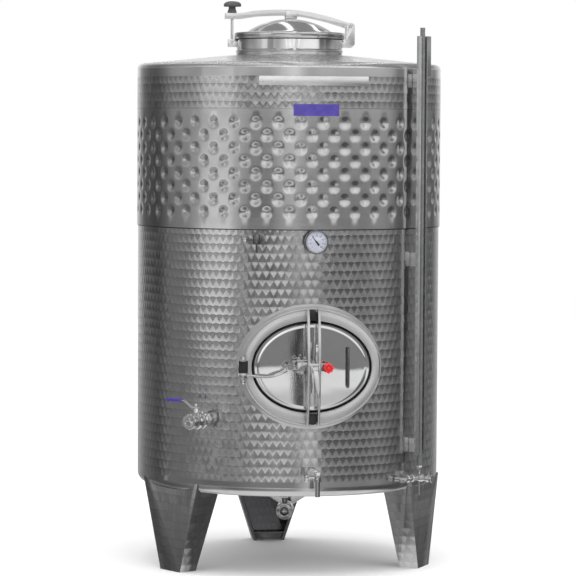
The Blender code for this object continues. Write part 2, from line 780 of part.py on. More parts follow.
def sump_cutter():
    """The sump's cone, a gap larger all round."""
    profile = [
        (0, 0.350),
        (SUMP_RADIUS + GAP, 0.350),
        (SUMP_RADIUS + GAP, SUMP_TOP_Z - GAP),
        (SUMP_TIP_RADIUS + GAP, SUMP_TIP_Z - GAP),
        (0, SUMP_TIP_Z - GAP),
    ]
    return turned(profile, closed=False, steps=48)


def ball_valve(axis, name, place, reach, start, ring, rise):
    """A quarter-turn ball valve on its pipe, closed, its lever across the pipe."""
    angle, height = place
    frame = empty(name + "_frame", axis, turn=angle)
    body_back = reach - 0.092
    pipe_end = body_back + 0.004
    profile = [
        (0, start),
        (0.0200, start),
        (0.0200, pipe_end),
        (0.0165, pipe_end),
        (0.0165, start + WALL),
        (0, start + WALL),
    ]
    pipe = turned(profile, closed=False, steps=28, axis="Y")
    pipe.data.transform(Matrix.Translation((0, 0, height)))
    if start < SUMP_RADIUS:
        pipe = cut(pipe, sump_cutter())
    nut = cylinder(0.0330, 0.014, (0, -body_back + 0.0073, height), "Y", 8)
    bore = cylinder(0.0168, 0.1, (0, -body_back, height), "Y", 32)
    finish(join(pipe, cut(nut, bore)), name + "_nipple", POLISHED, frame)
    rear = body_back + 0.004 + GAP
    profile = [
        (0.0, reach - 0.026),
        (0.0110, reach - 0.022),
        (0.0150, reach - 0.012),
        (0.0160, reach),
        (ring, reach),
        (ring, reach - 0.014),
        (0.0240, reach - 0.018),
        (0.0290, reach - 0.036),
        (0.0290, reach - 0.060),
        (0.0240, rear + 0.012),
        (0.0270, rear + 0.010),
        (0.0270, rear),
        (0, rear),
    ]
    body = turned(profile, closed=False, steps=28, axis="Y")
    body.data.transform(Matrix.Translation((0, 0, height)))
    stem_y = -(reach - 0.048)
    gland = cylinder(0.0105, 0.022, (0, stem_y, height + 0.035), "Z", 24)
    stem = cylinder(0.0048, 0.020, (0, stem_y, height + 0.052), "Z", 24)
    nut = cylinder(0.0080, 0.006, (0, stem_y, height + 0.0535), "Z", 6)
    finish(join(body, gland, stem, nut), name + "_body", POLISHED, frame)
    turn = pivot(name + "_pivot", frame, (0, stem_y, height + 0.048))
    low = height + 0.0463
    lever = outline(
        [(0.012, low), (-0.016, low), (-0.050, low + rise), (-0.118, low + rise),
         (-0.118, low + rise + 0.003), (-0.051, low + rise + 0.003),
         (-0.017, low + 0.0035), (0.012, low + 0.0035)], 0.018, "XZ"
    )
    lever.data.transform(Matrix.Translation((0, stem_y, 0)))
    bore = cylinder(0.0052, 0.1, (0, stem_y, height), "Z", 24)
    finish(cut(lever, bore), name + "_lever", POLISHED, turn)
    middle = low + rise + 0.0015
    sleeve = box((0.062, 0.022, 0.009), (-0.0895, stem_y, middle))
    room = box((0.2, 0.0186, 0.0036), (-0.1, stem_y, middle))
    finish(cut(sleeve, room), name + "_grip", BLUE, turn)


def gauge(axis):
    """The level gauge: channel, sight tube, brackets and the cock at its foot."""
    frame = empty("gauge_frame", axis, turn=GAUGE_ANGLE)
    back = GAUGE_BACK
    half = 0.020
    depth = 0.020
    sheet = 0.002
    points = [
        (-half, -back), (-half, -back - depth), (-half + sheet, -back - depth),
        (-half + sheet, -back - sheet), (half - sheet, -back - sheet),
        (half - sheet, -back - depth), (half, -back - depth), (half, -back),
    ]
    height = GAUGE_TOP_Z - GAUGE_BOTTOM_Z
    channel = outline(points, height, "XY")
    channel.data.transform(Matrix.Translation((0, 0, (GAUGE_TOP_Z + GAUGE_BOTTOM_Z) / 2)))
    stands = []
    for z, wall in ((1.800, JACKET_RADIUS), (1.150, SHELL_RADIUS), (0.470, SHELL_RADIUS)):
        near = wall + 2 * GAP
        far = back + sheet / 2
        stands.append(box((0.030, far - near, 0.050), (0, -(near + far) / 2, z)))
    lug = box((0.024, sheet, 0.1455), (half + 0.011, -back - depth + 0.001, 1.88975))
    finish(join(channel, *stands, lug), "gauge_channel", BRUSHED, frame)
    centre = -back - sheet - GAP - 0.009
    glass = cylinder(0.009, 1.993 - 0.396, (0, centre, (1.993 + 0.396) / 2), "Z", 20)
    finish(glass, "gauge_tube", PLASTIC, frame)
    nut = cylinder(0.0105, 0.018, (0, centre, 0.387 - GAP), "Z", 6)
    room = cylinder(0.0093, 0.02, (0, centre, 0.396 + 0.01 - 2 * GAP), "Z", 20)
    neck = cylinder(0.006, 0.040, (0, centre, 0.362), "Z", 16)
    barrel = cylinder(0.009, 0.085, (0, -0.6083, 0.350), "Y", 20)
    spout = cylinder(0.0045, 0.060, (0, centre, 0.316), "Z", 16)
    cap = cylinder(0.0130, 0.010, (0, -0.655, 0.350), "Y", 6)
    stem = cylinder(0.006, 0.092, (-0.046, -0.588, 0.350), "X", 16)
    collar = cylinder(0.0105, 0.030, (-0.048, -0.588, 0.350), "X", 20)
    cock = join(barrel, cut(nut, room), neck, spout, cap, stem, collar)
    finish(cock, "gauge_cock_body", POLISHED, frame)
    turn = pivot("gauge_cock_pivot", frame, (-0.095, -0.588, 0.350))
    hub = cylinder(0.008, 0.012, (-0.0983, -0.588, 0.350), "X", 24)
    wing = box((0.003, 0.054, 0.016), (-0.0983, -0.588, 0.350))
    finish(join(hub, wing), "gauge_cock_handle", POLISHED, turn)


def rail_and_label(axis):
    """The ladder rail over the jacket and the blank plate under it."""
    low, high = RAIL_Z
    bar = 0.004
    wall = math.sqrt(JACKET_RADIUS**2 - RAIL_HALF**2) + 0.0008
    points = [
        (-RAIL_HALF, -wall), (-RAIL_HALF, -RAIL_DEPTH), (RAIL_HALF, -RAIL_DEPTH),
        (RAIL_HALF, -wall), (RAIL_HALF - bar, -wall - 0.0012),
        (RAIL_HALF - bar, -RAIL_DEPTH + bar), (-RAIL_HALF + bar, -RAIL_DEPTH + bar),
        (-RAIL_HALF + bar, -wall - 0.0012),
    ]
    rail = outline(points, high - low, "XY")
    rail.data.transform(Matrix.Translation((0, 0, (low + high) / 2)))
    finish(rail, "ladder_rail", BRUSHED, axis)
    angle, height = LABEL
    half = math.degrees(0.083 / JACKET_RADIUS)
    plate = wall_arc(
        JACKET_RADIUS + 0.0018, 0.0010, height - 0.021, height + 0.021,
        angle - half, angle + half,
    )
    finish(plate, "label_plate", BLUE, axis)


def leg(axis, side, angle):
    """A folded channel leg, cut to the tank's bottom, open towards the axis."""
    frame = empty("leg_" + side + "_frame", axis, turn=angle)
    work = bmesh.new()
    rows = []
    for z in (-0.02, WALL_BOTTOM_Z + 0.02):
        half = LEG_HALF_FOOT + LEG_SPREAD * z
        depth = LEG_DEPTH_FOOT + LEG_DEPTH_GROWTH * z
        lip = 0.012
        section = [
            (-half + lip, LEG_FACE - depth), (-half, LEG_FACE - depth), (-half, LEG_FACE),
            (half, LEG_FACE), (half, LEG_FACE - depth), (half - lip, LEG_FACE - depth),
        ]
        rows.append([work.verts.new((x, -out, z)) for x, out in section])
    for a, b, c, d in zip(rows[0], rows[0][1:], rows[1][1:], rows[1]):
        work.faces.new((a, b, c, d))
    mesh = bpy.data.meshes.new("leg")
    bmesh.ops.recalc_face_normals(work, faces=work.faces)
    work.to_mesh(mesh)
    work.free()
    made = mesh_object("leg", mesh)
    sheet = made.modifiers.new("Thickness", "SOLIDIFY")
    sheet.thickness = WALL
    sheet.offset = -1
    sheet.use_even_offset = True
    below = box((1, 1, 0.1), (0, -LEG_FACE, -0.05))
    above = box((1, 1, 0.1), (0, -LEG_FACE, WALL_BOTTOM_Z + 0.05))
    made = cut(baked(made), below, above, tank_bottom_cutter())
    half = LEG_HALF_FOOT + LEG_SPREAD * 0.028 - WALL / 2
    reach = LEG_DEPTH_FOOT - 2 * WALL
    plate = box(
        (2 * half, reach, 0.005), (0, -(LEG_FACE - WALL / 2 - reach / 2), 0.0305)
    )
    finish(join(made, plate), "leg_" + side, BRUSHED, frame)


def build():
    clear_scene()
    axis = empty("tank_axis", location=(0, AXIS_Y, 0))
    shell_walls(axis)
    ends(axis)
    manhole(axis)
    lid_brackets(axis)
    pivot_lid = pivot("lid_pivot", axis, LID_PIN)
    lid(pivot_lid)
    clamp_arm(pivot_lid)
    clamp_knob(pivot("clamp_knob_pivot", axis, (BOLT_PIN.x, 0, 2.08)))
    swing_bolt(pivot("swing_bolt_pivot", axis, BOLT_PIN))
    manway_frame(axis)
    hinge_block(axis)
    pivot_door = pivot("manway_pivot", axis, (HINGE_X, -HINGE_DEPTH, MANWAY_Z))
    door(pivot_door)
    yoke(pivot_door)
    hinge_arm(pivot_door)
    clamp_lever(pivot("clamp_lever_pivot", axis, (0, -LEVER_DEPTH, 0.770)))
    locking_knob(pivot("locking_knob_pivot", axis, (RED_KNOB_X, -0.64, MANWAY_Z)))
    thermometer(axis)
    tap(axis, "upper_tap", UPPER_TAP, 0.0035, 0.034, 0.012)
    tap(axis, "lower_tap", LOWER_TAP, 0.0088, 0.058, 0.017)
    wall = SHELL_RADIUS + GAP
    ball_valve(axis, "side_valve", SIDE_VALVE, 0.703, wall, 0.0240, 0.024)
    ball_valve(axis, "drain_valve", DRAIN_VALVE, 0.272, -0.012, 0.0300, 0.021)
    gauge(axis)
    rail_and_label(axis)
    for side, angle in LEG_ANGLES.items():
        leg(axis, side, angle)


build()
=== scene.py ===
import math

import bmesh
import bpy
from mathutils import Matrix, Vector


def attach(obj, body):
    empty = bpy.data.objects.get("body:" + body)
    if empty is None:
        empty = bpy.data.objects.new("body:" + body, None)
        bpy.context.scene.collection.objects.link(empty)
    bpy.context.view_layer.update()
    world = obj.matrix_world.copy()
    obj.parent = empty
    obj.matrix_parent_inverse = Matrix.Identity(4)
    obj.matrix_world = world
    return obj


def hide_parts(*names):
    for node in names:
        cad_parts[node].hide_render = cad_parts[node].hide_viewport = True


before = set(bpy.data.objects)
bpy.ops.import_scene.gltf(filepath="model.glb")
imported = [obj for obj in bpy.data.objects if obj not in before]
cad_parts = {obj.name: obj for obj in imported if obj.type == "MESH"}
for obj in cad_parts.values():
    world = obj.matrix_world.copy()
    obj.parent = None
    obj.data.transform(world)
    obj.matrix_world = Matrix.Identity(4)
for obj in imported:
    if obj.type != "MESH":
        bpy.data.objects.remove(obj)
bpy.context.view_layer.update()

# The tank's main sizes, in metres; its axis stands a little behind the origin
AXIS_Y = 0.056
SHELL_RADIUS = 0.565
JACKET_RADIUS = 0.569
WALL = 0.003
PLAY = 0.0003
WALL_BOTTOM = 0.335
JACKET_BOTTOM = 1.264
JACKET_TOP = 1.697
BAND_TOP = 1.843
TOP_KNUCKLE = 0.022
BOTTOM_KNUCKLE = 0.035
SUMP_RADIUS = 0.156
SUMP_TOP = 0.29

# The manhole's neck with its rolled bead, and the domed lid on it
NECK_RADIUS = 0.199
NECK_FOOT = 1.882
NECK_BASE = 1.9
NECK_TOP = 1.9575
BEAD_HEIGHTS = (1.9065, 1.914, 1.9215)
LID_RADIUS = 0.2075
LID_TOP = 1.983
LID_CORNER = 0.0045
SKIRT = 1.9592
DOME_RADIUS = 0.163
DOME_BASE = 1.986
DOME_TOP = 2.036
SEAL_WIDTH = 0.015

# The manway: its height, the ovals' half width and half height, and how far its
# faces stand from the tank's axis
MANWAY = 0.773
HOLE_HALF = (0.232, 0.18)
COLLAR_HALF = (0.262, 0.225)
DOOR_HALF = (0.2095, 0.157)
FRAME_FOOT = 0.5653
FRAME_LIP = 0.572
FRAME_FACE = 0.59
DOOR_FACE = 0.5912
DOOR_BULGE = 0.0012

# Where the fittings sit on the wall: bearing in degrees and height
THERMOMETER = (1.2, 1.22)
SIDE_VALVE = (-38.5, 0.576)
DRAIN_VALVE = (-10.5, 0.2115)
UPPER_TAP = (-18.8, 1.229)
LOWER_TAP = (1.0, 0.382)
GAUGE_COCK = (45, 0.35)

# The dimples of the jacket: 44 round the tank, every second row set over by half
DIMPLES_ROUND = 44
DIMPLE_ROW = 0.046
DIMPLE_ROWS = 8
DIMPLE_LOW = 1.3015
DIMPLE_DEPTH = 0.0034
DIMPLE_FLAT = 0.003
DIMPLE_SPREAD = 0.0235
JACKET_EDGE = 0.0034

# The circles of the polished pattern: their spacing and their radius
CIRCLE_ACROSS = 0.0271
CIRCLE_UP = 0.032
CIRCLE_REACH = 0.0275

# The camera: degrees to the left of the front, distance, height, aim and lens
CAMERA_TURN = 8.5
CAMERA_DISTANCE = 11.0
CAMERA_HEIGHT = 1.62
CAMERA_PITCH = 86.9
CAMERA_ROLL = 0.3
CAMERA_LENS = 182.5


def take_up(piece):
    """Makes a piece the only selected and the active one."""
    bpy.ops.object.select_all(action="DESELECT")
    piece.select_set(True)
    bpy.context.view_layer.objects.active = piece


def placed(piece, place=None):
    """Sets a piece in its place, and moves that place into its mesh."""
    if place is not None:
        piece.matrix_world = place
    take_up(piece)
    bpy.ops.object.transform_apply(location=True, rotation=True, scale=True)
    return piece


def open_mesh():
    """Opens the active piece for shaping, with all of it picked."""
    bpy.ops.object.mode_set(mode="EDIT")
    bpy.ops.mesh.select_all(action="SELECT")


def close_mesh():
    bpy.ops.object.mode_set(mode="OBJECT")


def close_skin():
    """Welds the open mesh, turns its faces outwards and closes it."""
    bpy.ops.mesh.select_all(action="SELECT")
    bpy.ops.mesh.remove_doubles(threshold=0.00003)
    bpy.ops.mesh.normals_make_consistent(inside=False)
    close_mesh()


def pick(piece, wanted):
    """Picks the points of the open mesh that pass a test, and no others."""
    bpy.ops.mesh.select_all(action="DESELECT")
    mesh = bmesh.from_edit_mesh(piece.data)
    for vert in mesh.verts:
        vert.select = wanted(vert.co)
    mesh.select_flush(True)
    bmesh.update_edit_mesh(piece.data)


def extrude(*way):
    bpy.ops.mesh.extrude_region_move(TRANSFORM_OT_translate={"value": way})


def set_up(thing, **settings):
    for key, value in settings.items():
        setattr(thing, key, value)
    return thing


def apply_modifiers(piece):
    take_up(piece)
    for name in [m.name for m in piece.modifiers]:
        bpy.ops.object.modifier_apply(modifier=name)


def soften(piece, width, segments=2, angle=30):
    """Rounds a piece's sharp edges a little, as a file or a press leaves them."""
    bevel = piece.modifiers.new("softened edges", "BEVEL")
    set_up(bevel, width=width, segments=segments, limit_method="ANGLE",
           angle_limit=math.radians(angle), miter_outer="MITER_ARC")
    apply_modifiers(piece)


def hand_over(piece, name, finish, *nodes, slot="polished_steel", body="tank",
              smooth=40):
    """Names a finished piece and hangs it on its body, in place of some nodes."""
    if smooth:
        take_up(piece)
        bpy.ops.object.shade_smooth_by_angle(angle=math.radians(smooth))
    piece.name = piece.data.name = name
    piece.data.materials.clear()
    piece.data.materials.append(FINISH[finish])
    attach(piece, body)
    if nodes:
        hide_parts(*nodes)


def carried_ring(rings, sides, closed):
    """A skin carried ring by ring; a ring is (half width, half depth, height)."""
    tip = 1e-5
    rings = [(max(wide, tip), max(deep, tip), high) for wide, deep, high in rings]
    if closed:
        rings.append(rings[0])
    wide, deep, high = rings[0]
    bpy.ops.mesh.primitive_circle_add(vertices=sides, location=(0, 0, high))
    piece = bpy.context.object
    piece.scale = (wide, deep, 1)
    placed(piece)
    open_mesh()
    for here, after in zip(rings, rings[1:]):
        extrude(0, 0, after[2] - here[2])
        bpy.ops.transform.resize(value=(after[0] / here[0], after[1] / here[1], 1),
                                 center_override=(0, 0, after[2]))
    close_skin()
    return piece


def round_skin(profile, sides=256, closed=True):
    """A profile of (radius, height) carried round the tank's axis."""
    piece = carried_ring([(r, r, z) for r, z in profile], sides, closed)
    return placed(piece, shift(0, AXIS_Y, 0))


def plain_band(radius, thick, low, high, sides=360):
    """A plain round band: its outer radius, its thickness and its two heights."""
    inner = radius - thick
    return round_skin([(radius, high), (radius, low), (inner, low), (inner, high)], sides)


def oval_skin(rings, sides=192, closed=True):
    """Ovals of (half width, half height, reach to the front) round the manway."""
    return placed(carried_ring(rings, sides, closed), facing(0, AXIS_Y, MANWAY))


# Small parts are drawn in millimetres, and their places are given in metres


def turned(profile, place, sides=48, closed=False):
    """Turned on a lathe from (radius, height); its ends run to the axis."""
    if not closed:
        profile = [(0, profile[0][1]), *profile]
        if profile[-1][0]:
            profile.append((0, profile[-1][1]))
    rings = [(r / 1000, r / 1000, h / 1000) for r, h in profile]
    return placed(carried_ring(rings, sides, closed), place)


def plate(outline, thickness, place, edge=0.6):
    """A flat plate of any outline, extruded along its own Z, with its edges eased."""
    bpy.ops.mesh.primitive_circle_add(vertices=len(outline), fill_type="NGON")
    piece = bpy.context.object
    for vert, (x, y) in zip(piece.data.vertices, outline):
        vert.co = (x / 1000, y / 1000, 0)
    open_mesh()
    extrude(0, 0, thickness / 1000)
    close_skin()
    if edge:
        soften(piece, edge / 1000)
    return placed(piece, place)


def oblong(left, low, right, high):
    return [(left, low), (right, low), (right, high), (left, high)]


def hex_nut(across, thick, place):
    rim = across * 0.9
    return turned([(rim, 0), (across, thick * 0.12), (across, thick * 0.86),
                   (rim, thick)], place, 6)


def acorn_nut(across, high, place):
    """A domed nut: a hexagon with a polished cap on it."""
    cap = across * 0.82
    dome = [(x, high * (0.5 + 0.5 * y / cap)) for x, y in arc((0, 0), cap, 0, 75, 5)]
    top = turned([(cap, 0), *dome, (0, high)], place, 24)
    return joined([hex_nut(across, high * 0.45, place), top])


def joined(pieces):
    """Several welded or screwed parts as one mesh."""
    take_up(pieces[0])
    for piece in pieces[1:]:
        piece.select_set(True)
    bpy.ops.object.join()
    return pieces[0]


def turn_about(axis, degrees):
    return Matrix.Rotation(math.radians(degrees), 4, axis)


def shift(x, y, z):
    return Matrix.Translation((x, y, z))


def facing(x, y, z):
    """A place that faces the front: its own Z axis points forwards."""
    return shift(x, y, z) @ turn_about("X", 90)


def at_wall(degrees, height, reach=0.0):
    """A place on the wall by its bearing: its own Z axis points outwards."""
    axis = shift(0, AXIS_Y, height) @ turn_about("Z", degrees)
    return axis @ turn_about("X", 90) @ shift(0, 0, reach)


def arc(centre, radius, start, end, count):
    x, y = centre
    angles = [math.radians(start + (end - start) * i / count) for i in range(count + 1)]
    return [(x + radius * math.cos(a), y + radius * math.sin(a)) for a in angles]


class Wires:
    """Places shader nodes in a tree and joins them."""

    def __init__(self, tree):
        self.tree = tree

    def feed(self, socket, value):
        if isinstance(value, bpy.types.NodeSocket):
            self.tree.links.new(value, socket)
        else:
            socket.default_value = value

    def add(self, kind, values=None, **settings):
        """A node with its settings; its sockets take their values by name."""
        node = set_up(self.tree.nodes.new("ShaderNode" + kind), **settings)
        for key, value in (values or {}).items():
            self.feed(node.inputs[key], value)
        return node

    def fed(self, kind, values, **settings):
        """A node whose first sockets take the values in their order."""
        node = self.add(kind, **settings)
        for socket, value in zip(node.inputs, values):
            self.feed(socket, value)
        return node

    def math(self, operation, *values):
        return self.fed("Math", values, operation=operation).outputs[0]

    def times(self, first, second):
        return self.math("MULTIPLY", first, second)

    def over(self, first, second):
        return self.math("DIVIDE", first, second)

    def plus(self, first, second):
        return self.math("ADD", first, second)

    def minus(self, first, second):
        return self.math("SUBTRACT", first, second)

    def about(self, value, spread):
        """How far a value swings from its middle, made wider or narrower."""
        return self.times(self.minus(value, 0.5), spread)

    def vector(self, operation, *values, out="Vector"):
        node = self.fed("VectorMath", values, operation=operation)
        return node.outputs[out]

    def combined(self, *values):
        return self.fed("CombineXYZ", values).outputs[0]

    def span(self, value, low, high, to_low=0.0, to_high=1.0, kind="SMOOTHSTEP"):
        values = (value, low, high, to_low, to_high)
        node = self.fed("MapRange", values, interpolation_type=kind)
        return node.outputs["Result"]

    def ramp(self, value, stops):
        node = self.add("ValToRGB", {"Fac": value})
        points = node.color_ramp.elements
        points.remove(points[1])
        points[0].position, points[0].color = stops[0][0], grey(stops[0][1])
        for place, tone in stops[1:]:
            points.new(place).color = grey(tone)
        return node.outputs["Color"]

    def mix(self, factor, first, second):
        node = self.add("Mix", data_type="RGBA")
        for index, value in ((0, factor), (6, first), (7, second)):
            self.feed(node.inputs[index], value)
        return node.outputs[2]

    def noise(self, place, scale, detail, roughness, dimensions="3D"):
        values = {"W" if dimensions == "1D" else "Vector": place, "Scale": scale,
                  "Detail": detail, "Roughness": roughness}
        node = self.add("TexNoise", values, noise_dimensions=dimensions)
        return node.outputs["Fac"]

    def group(self, tree, **values):
        return self.add("Group", values, node_tree=tree).outputs


def grey(tone):
    return (tone, tone, tone, 1.0)


def new_group(name, ins, **outs):
    """An empty shader group; a number makes a float socket, the rest are vectors."""
    tree = bpy.data.node_groups.new(name, "ShaderNodeTree")
    for label, value in ins.items():
        kind = "NodeSocketFloat" if isinstance(value, float) else "NodeSocketVector"
        socket = tree.interface.new_socket(label, in_out="INPUT", socket_type=kind)
        if value is not None:
            socket.default_value = value
    for label, kind in outs.items():
        kind = "NodeSocket" + kind
        tree.interface.new_socket(label, in_out="OUTPUT", socket_type=kind)
    wires = Wires(tree)
    given = tree.nodes.new("NodeGroupInput").outputs

    def finish(**values):
        result = tree.nodes.new("NodeGroupOutput")
        for label, value in values.items():
            wires.feed(result.inputs[label], value)
        return tree

    return wires, given, finish


def circle_place(wires, around, up, row):
    """How far a point is from the nearest circle's centre in one row."""
    odd = wires.times(wires.math("MODULO", row, 2.0), 0.5)
    place = wires.minus(wires.over(around, CIRCLE_ACROSS), odd)
    column = wires.math("ROUND", place)
    across = wires.times(wires.minus(place, column), CIRCLE_ACROSS)
    rise = wires.minus(up, wires.times(row, CIRCLE_UP))
    reach = wires.vector("LENGTH", wires.combined(across, rise), out="Value")
    return across, rise, reach, column


def circle_polish_group():
    """Circles ground into the sheet row over row, each row over the one above, with a
    painted highlight in the fan above each centre.
    """
    wires, given, finish = new_group(
        "circle polish",
        {"Around": 0.0, "Up": 0.0, "Dish": 0.1, "Scratch": 0.1, "Normal": None},
        Normal="Vector", Tone="Float", Luck="Float")
    around, up, sheet = given["Around"], given["Up"], given["Normal"]
    low_row = wires.math("CEIL", wires.over(wires.minus(up, CIRCLE_REACH), CIRCLE_UP))
    near = circle_place(wires, around, up, low_row)[2]
    row = wires.plus(low_row, wires.math("GREATER_THAN", near, CIRCLE_REACH))
    across, rise, reach, column = circle_place(wires, around, up, row)
    circle = wires.combined(column, row)
    luck = wires.add("TexWhiteNoise", {"Vector": circle}).outputs["Value"]
    scratch = wires.about(wires.noise(reach, 1100.0, 2.0, 0.6, "1D"), given["Scratch"])
    uneven = wires.span(luck, 0.0, 1.0, 0.75, 1.25, "LINEAR")
    bowl = wires.math("POWER", wires.over(reach, CIRCLE_REACH), 0.5)
    dish = wires.times(wires.times(given["Dish"], uneven), bowl)
    off_centre = wires.math("MAXIMUM", reach, 0.001)
    slope = wires.over(wires.plus(dish, scratch), wires.times(off_centre, -1.0))
    # The slope leans sideways a little, and downwards in the fan above the centre
    upright = wires.combined(0.0, 0.0, 1.0)
    level = wires.vector("NORMALIZE", wires.vector("CROSS_PRODUCT", upright, sheet))
    beside = wires.over(wires.math("ABSOLUTE", across), off_centre)
    fan = wires.span(beside, 0.24, 0.66, 1.0, 0.0)
    aside = wires.times(wires.times(slope, across), 0.4)
    leaning = wires.vector("MULTIPLY", level, aside)
    share = wires.span(fan, 0.0, 1.0, 0.12, 1.0, "LINEAR")
    down = wires.times(wires.math("MAXIMUM", rise, 0.0), share)
    falling = wires.vector("MULTIPLY", upright, wires.times(slope, down))
    tilted = wires.vector("ADD", wires.vector("ADD", leaning, falling), sheet)
    edge = wires.span(reach, CIRCLE_REACH - 0.006, CIRCLE_REACH)
    # The tone is a painted highlight in the fan above each centre, and is made darker
    # towards each circle's rim
    tone = wires.minus(wires.times(fan, 0.5), edge)
    return finish(Normal=wires.vector("NORMALIZE", tilted), Tone=tone, Luck=luck)


def hairline_group():
    """Fine scratches that run one way, as a brush or a belt leaves them."""
    wires, given, finish = new_group(
        "hairlines", {"Vector": None, "Stretch": (40.0, 40.0, 900.0)},
        Height="Float", Tone="Float")
    drawn = wires.vector("MULTIPLY", given["Vector"], given["Stretch"])
    lines = wires.noise(drawn, 1.0, 4.0, 0.65)
    broad = wires.noise(drawn, 0.22, 2.0, 0.5)
    tone = wires.plus(wires.times(lines, 0.65), wires.times(broad, 0.35))
    return finish(Height=wires.times(lines, 0.00002), Tone=tone)


def handling_group():
    """Smudges and water marks that dull a wiped surface here and there."""
    wires, given, finish = new_group(
        "handling marks", {"Vector": None, "Size": 6.0}, Mask="Float", Waves="Float"
    )
    cloud = wires.noise(given["Vector"], given["Size"], 2.5, 0.45)
    waves = wires.noise(given["Vector"], wires.times(given["Size"], 0.6), 1.0, 0.4)
    return finish(Mask=wires.span(cloud, 0.4, 0.74), Waves=waves)


CIRCLE_POLISH = circle_polish_group()
HAIRLINES = hairline_group()
HANDLING = handling_group()


def blank(name, metallic, roughness):
    material = bpy.data.materials.new(name)
    material.use_nodes = True
    sockets = material.node_tree.nodes["Principled BSDF"].inputs
    sockets["Metallic"].default_value = metallic
    sockets["Roughness"].default_value = roughness
    wires = Wires(material.node_tree)
    return material, wires, sockets, wires.add("TexCoord").outputs["Object"]


def bumped(wires, sockets, height, strength=1.0, distance=1.0):
    values = {"Height": height, "Strength": strength, "Distance": distance}
    normal = wires.add("Bump", values).outputs["Normal"]
    wires.feed(sockets["Normal"], normal)
    return normal


def tinted(wires, sockets, tone, base):
    """Feeds the base colour, made lighter or darker by a tone."""
    shares = [wires.times(tone, share) for share in base]
    colour = wires.fed("CombineColor", shares)
    wires.feed(sockets["Base Color"], colour.outputs[0])


def circle_polished(name, low, high, dish, scratch, base, plain_rough, circle_rough,
                    flat=False):
    """Rolled sheet with a zone of ground circles between two heights."""
    material, wires, sockets, place = blank(name, 1.0, plain_rough)
    x, y, z = wires.add("SeparateXYZ", {"Vector": place}).outputs
    marks = wires.group(HANDLING, Vector=place, Size=5.0)
    rolled = bumped(wires, sockets, wires.times(marks["Waves"], 0.0016))
    if flat:
        sheet = wires.add("NewGeometry").outputs["Normal"]
        across = wires.vector("CROSS_PRODUCT", wires.combined(0.0, 0.0, 1.0), sheet)
        around = wires.vector("DOT_PRODUCT", across, place, out="Value")
    else:
        angle = wires.math("ARCTAN2", x, wires.minus(AXIS_Y, y))
        around = wires.times(angle, SHELL_RADIUS)
    zone = wires.times(wires.span(z, low - 0.004, low + 0.004),
                       wires.span(z, high - 0.003, high + 0.003, 1.0, 0.0))
    circles = wires.group(
        CIRCLE_POLISH, Around=around, Up=z, Dish=wires.times(zone, dish),
        Scratch=wires.times(zone, scratch), Normal=rolled)
    wires.feed(sockets["Normal"], circles["Normal"])
    lines = wires.group(HAIRLINES, Vector=place, Stretch=(14.0, 14.0, 520.0))
    luck = wires.times(wires.minus(circles["Luck"], 0.5), zone)
    # The circles' tone puts their painted highlight, above each centre and darker at each
    # rim, into the colour
    tone = wires.plus(wires.times(wires.times(circles["Tone"], zone), 0.14), 1.0)
    tone = wires.plus(tone, wires.times(luck, 0.12))
    tone = wires.plus(tone, wires.about(lines["Tone"], 0.08))
    tinted(wires, sockets, tone, base)
    rough = wires.plus(wires.times(zone, circle_rough - plain_rough), plain_rough)
    rough = wires.plus(rough, wires.times(luck, 0.05))
    rough = wires.plus(rough, wires.times(marks["Mask"], 0.04))
    wires.feed(sockets["Roughness"], rough)
    return material


def metal(name, base, metallic, rough, stretch, spread, size, dulling):
    """Metal that shows its hairlines and is darker where it has been handled."""
    material, wires, sockets, place = blank(name, metallic, rough)
    lines = wires.group(HAIRLINES, Vector=place, Stretch=stretch)
    marks = wires.group(HANDLING, Vector=place, Size=size)
    tone = wires.plus(wires.about(lines["Tone"], spread), 1.0)
    tinted(wires, sockets, wires.minus(tone, wires.times(marks["Mask"], dulling)), base)
    return material, wires, sockets, place, lines, marks


def brushed(name, base, rough, stretch, spread, dents=0.0):
    """Brushed or cast metal: hairlines in one direction and dull handled spots."""
    material, wires, sockets, _, lines, marks = metal(
        name, base, 1.0, rough, stretch, spread, 14.0, 0.06)
    change = wires.plus(wires.about(lines["Tone"], rough * 0.8),
                        wires.times(marks["Mask"], rough * 0.35))
    wires.feed(sockets["Roughness"], wires.plus(change, rough))
    height = wires.plus(lines["Height"], wires.times(marks["Waves"], dents))
    bumped(wires, sockets, height, 0.6)
    return material


def matt(name, base, rough):
    """Blasted sheet: a dull, even surface with a soft, pale sheen."""
    material, wires, sockets, place, *_ = metal(
        name, base, 0.72, rough, (30.0, 30.0, 160.0), 0.14, 9.0, 0.07)
    grain = wires.noise(place, 700.0, 3.0, 0.6)
    wires.feed(sockets["Roughness"], wires.plus(wires.about(grain, 0.16), rough))
    bumped(wires, sockets, grain, 0.3, 0.00012)
    return material


def moulded(name, base, rough, grain, coat=0.0):
    """Moulded plastic or rubber with a fine grain and slightly worn spots."""
    material, wires, sockets, place = blank(name, 0.0, rough)
    speck = wires.noise(place, grain, 4.0, 0.6)
    marks = wires.group(HANDLING, Vector=place, Size=40.0)
    worn = tuple(min(1.0, c * 1.5 + 0.012) for c in base)
    colour = wires.mix(wires.times(marks["Mask"], 0.45), (*base, 1), (*worn, 1))
    wires.feed(sockets["Base Color"], colour)
    wires.feed(sockets["Roughness"], wires.plus(wires.about(speck, 0.22), rough))
    sockets["Coat Weight"].default_value = coat
    bumped(wires, sockets, speck, 0.25, 0.0004)
    return material


def steel(tone):
    """A steel's colour: an even grey with a trace of blue."""
    return (tone, tone, tone + 0.005)


def even(value):
    return (value,) * 3


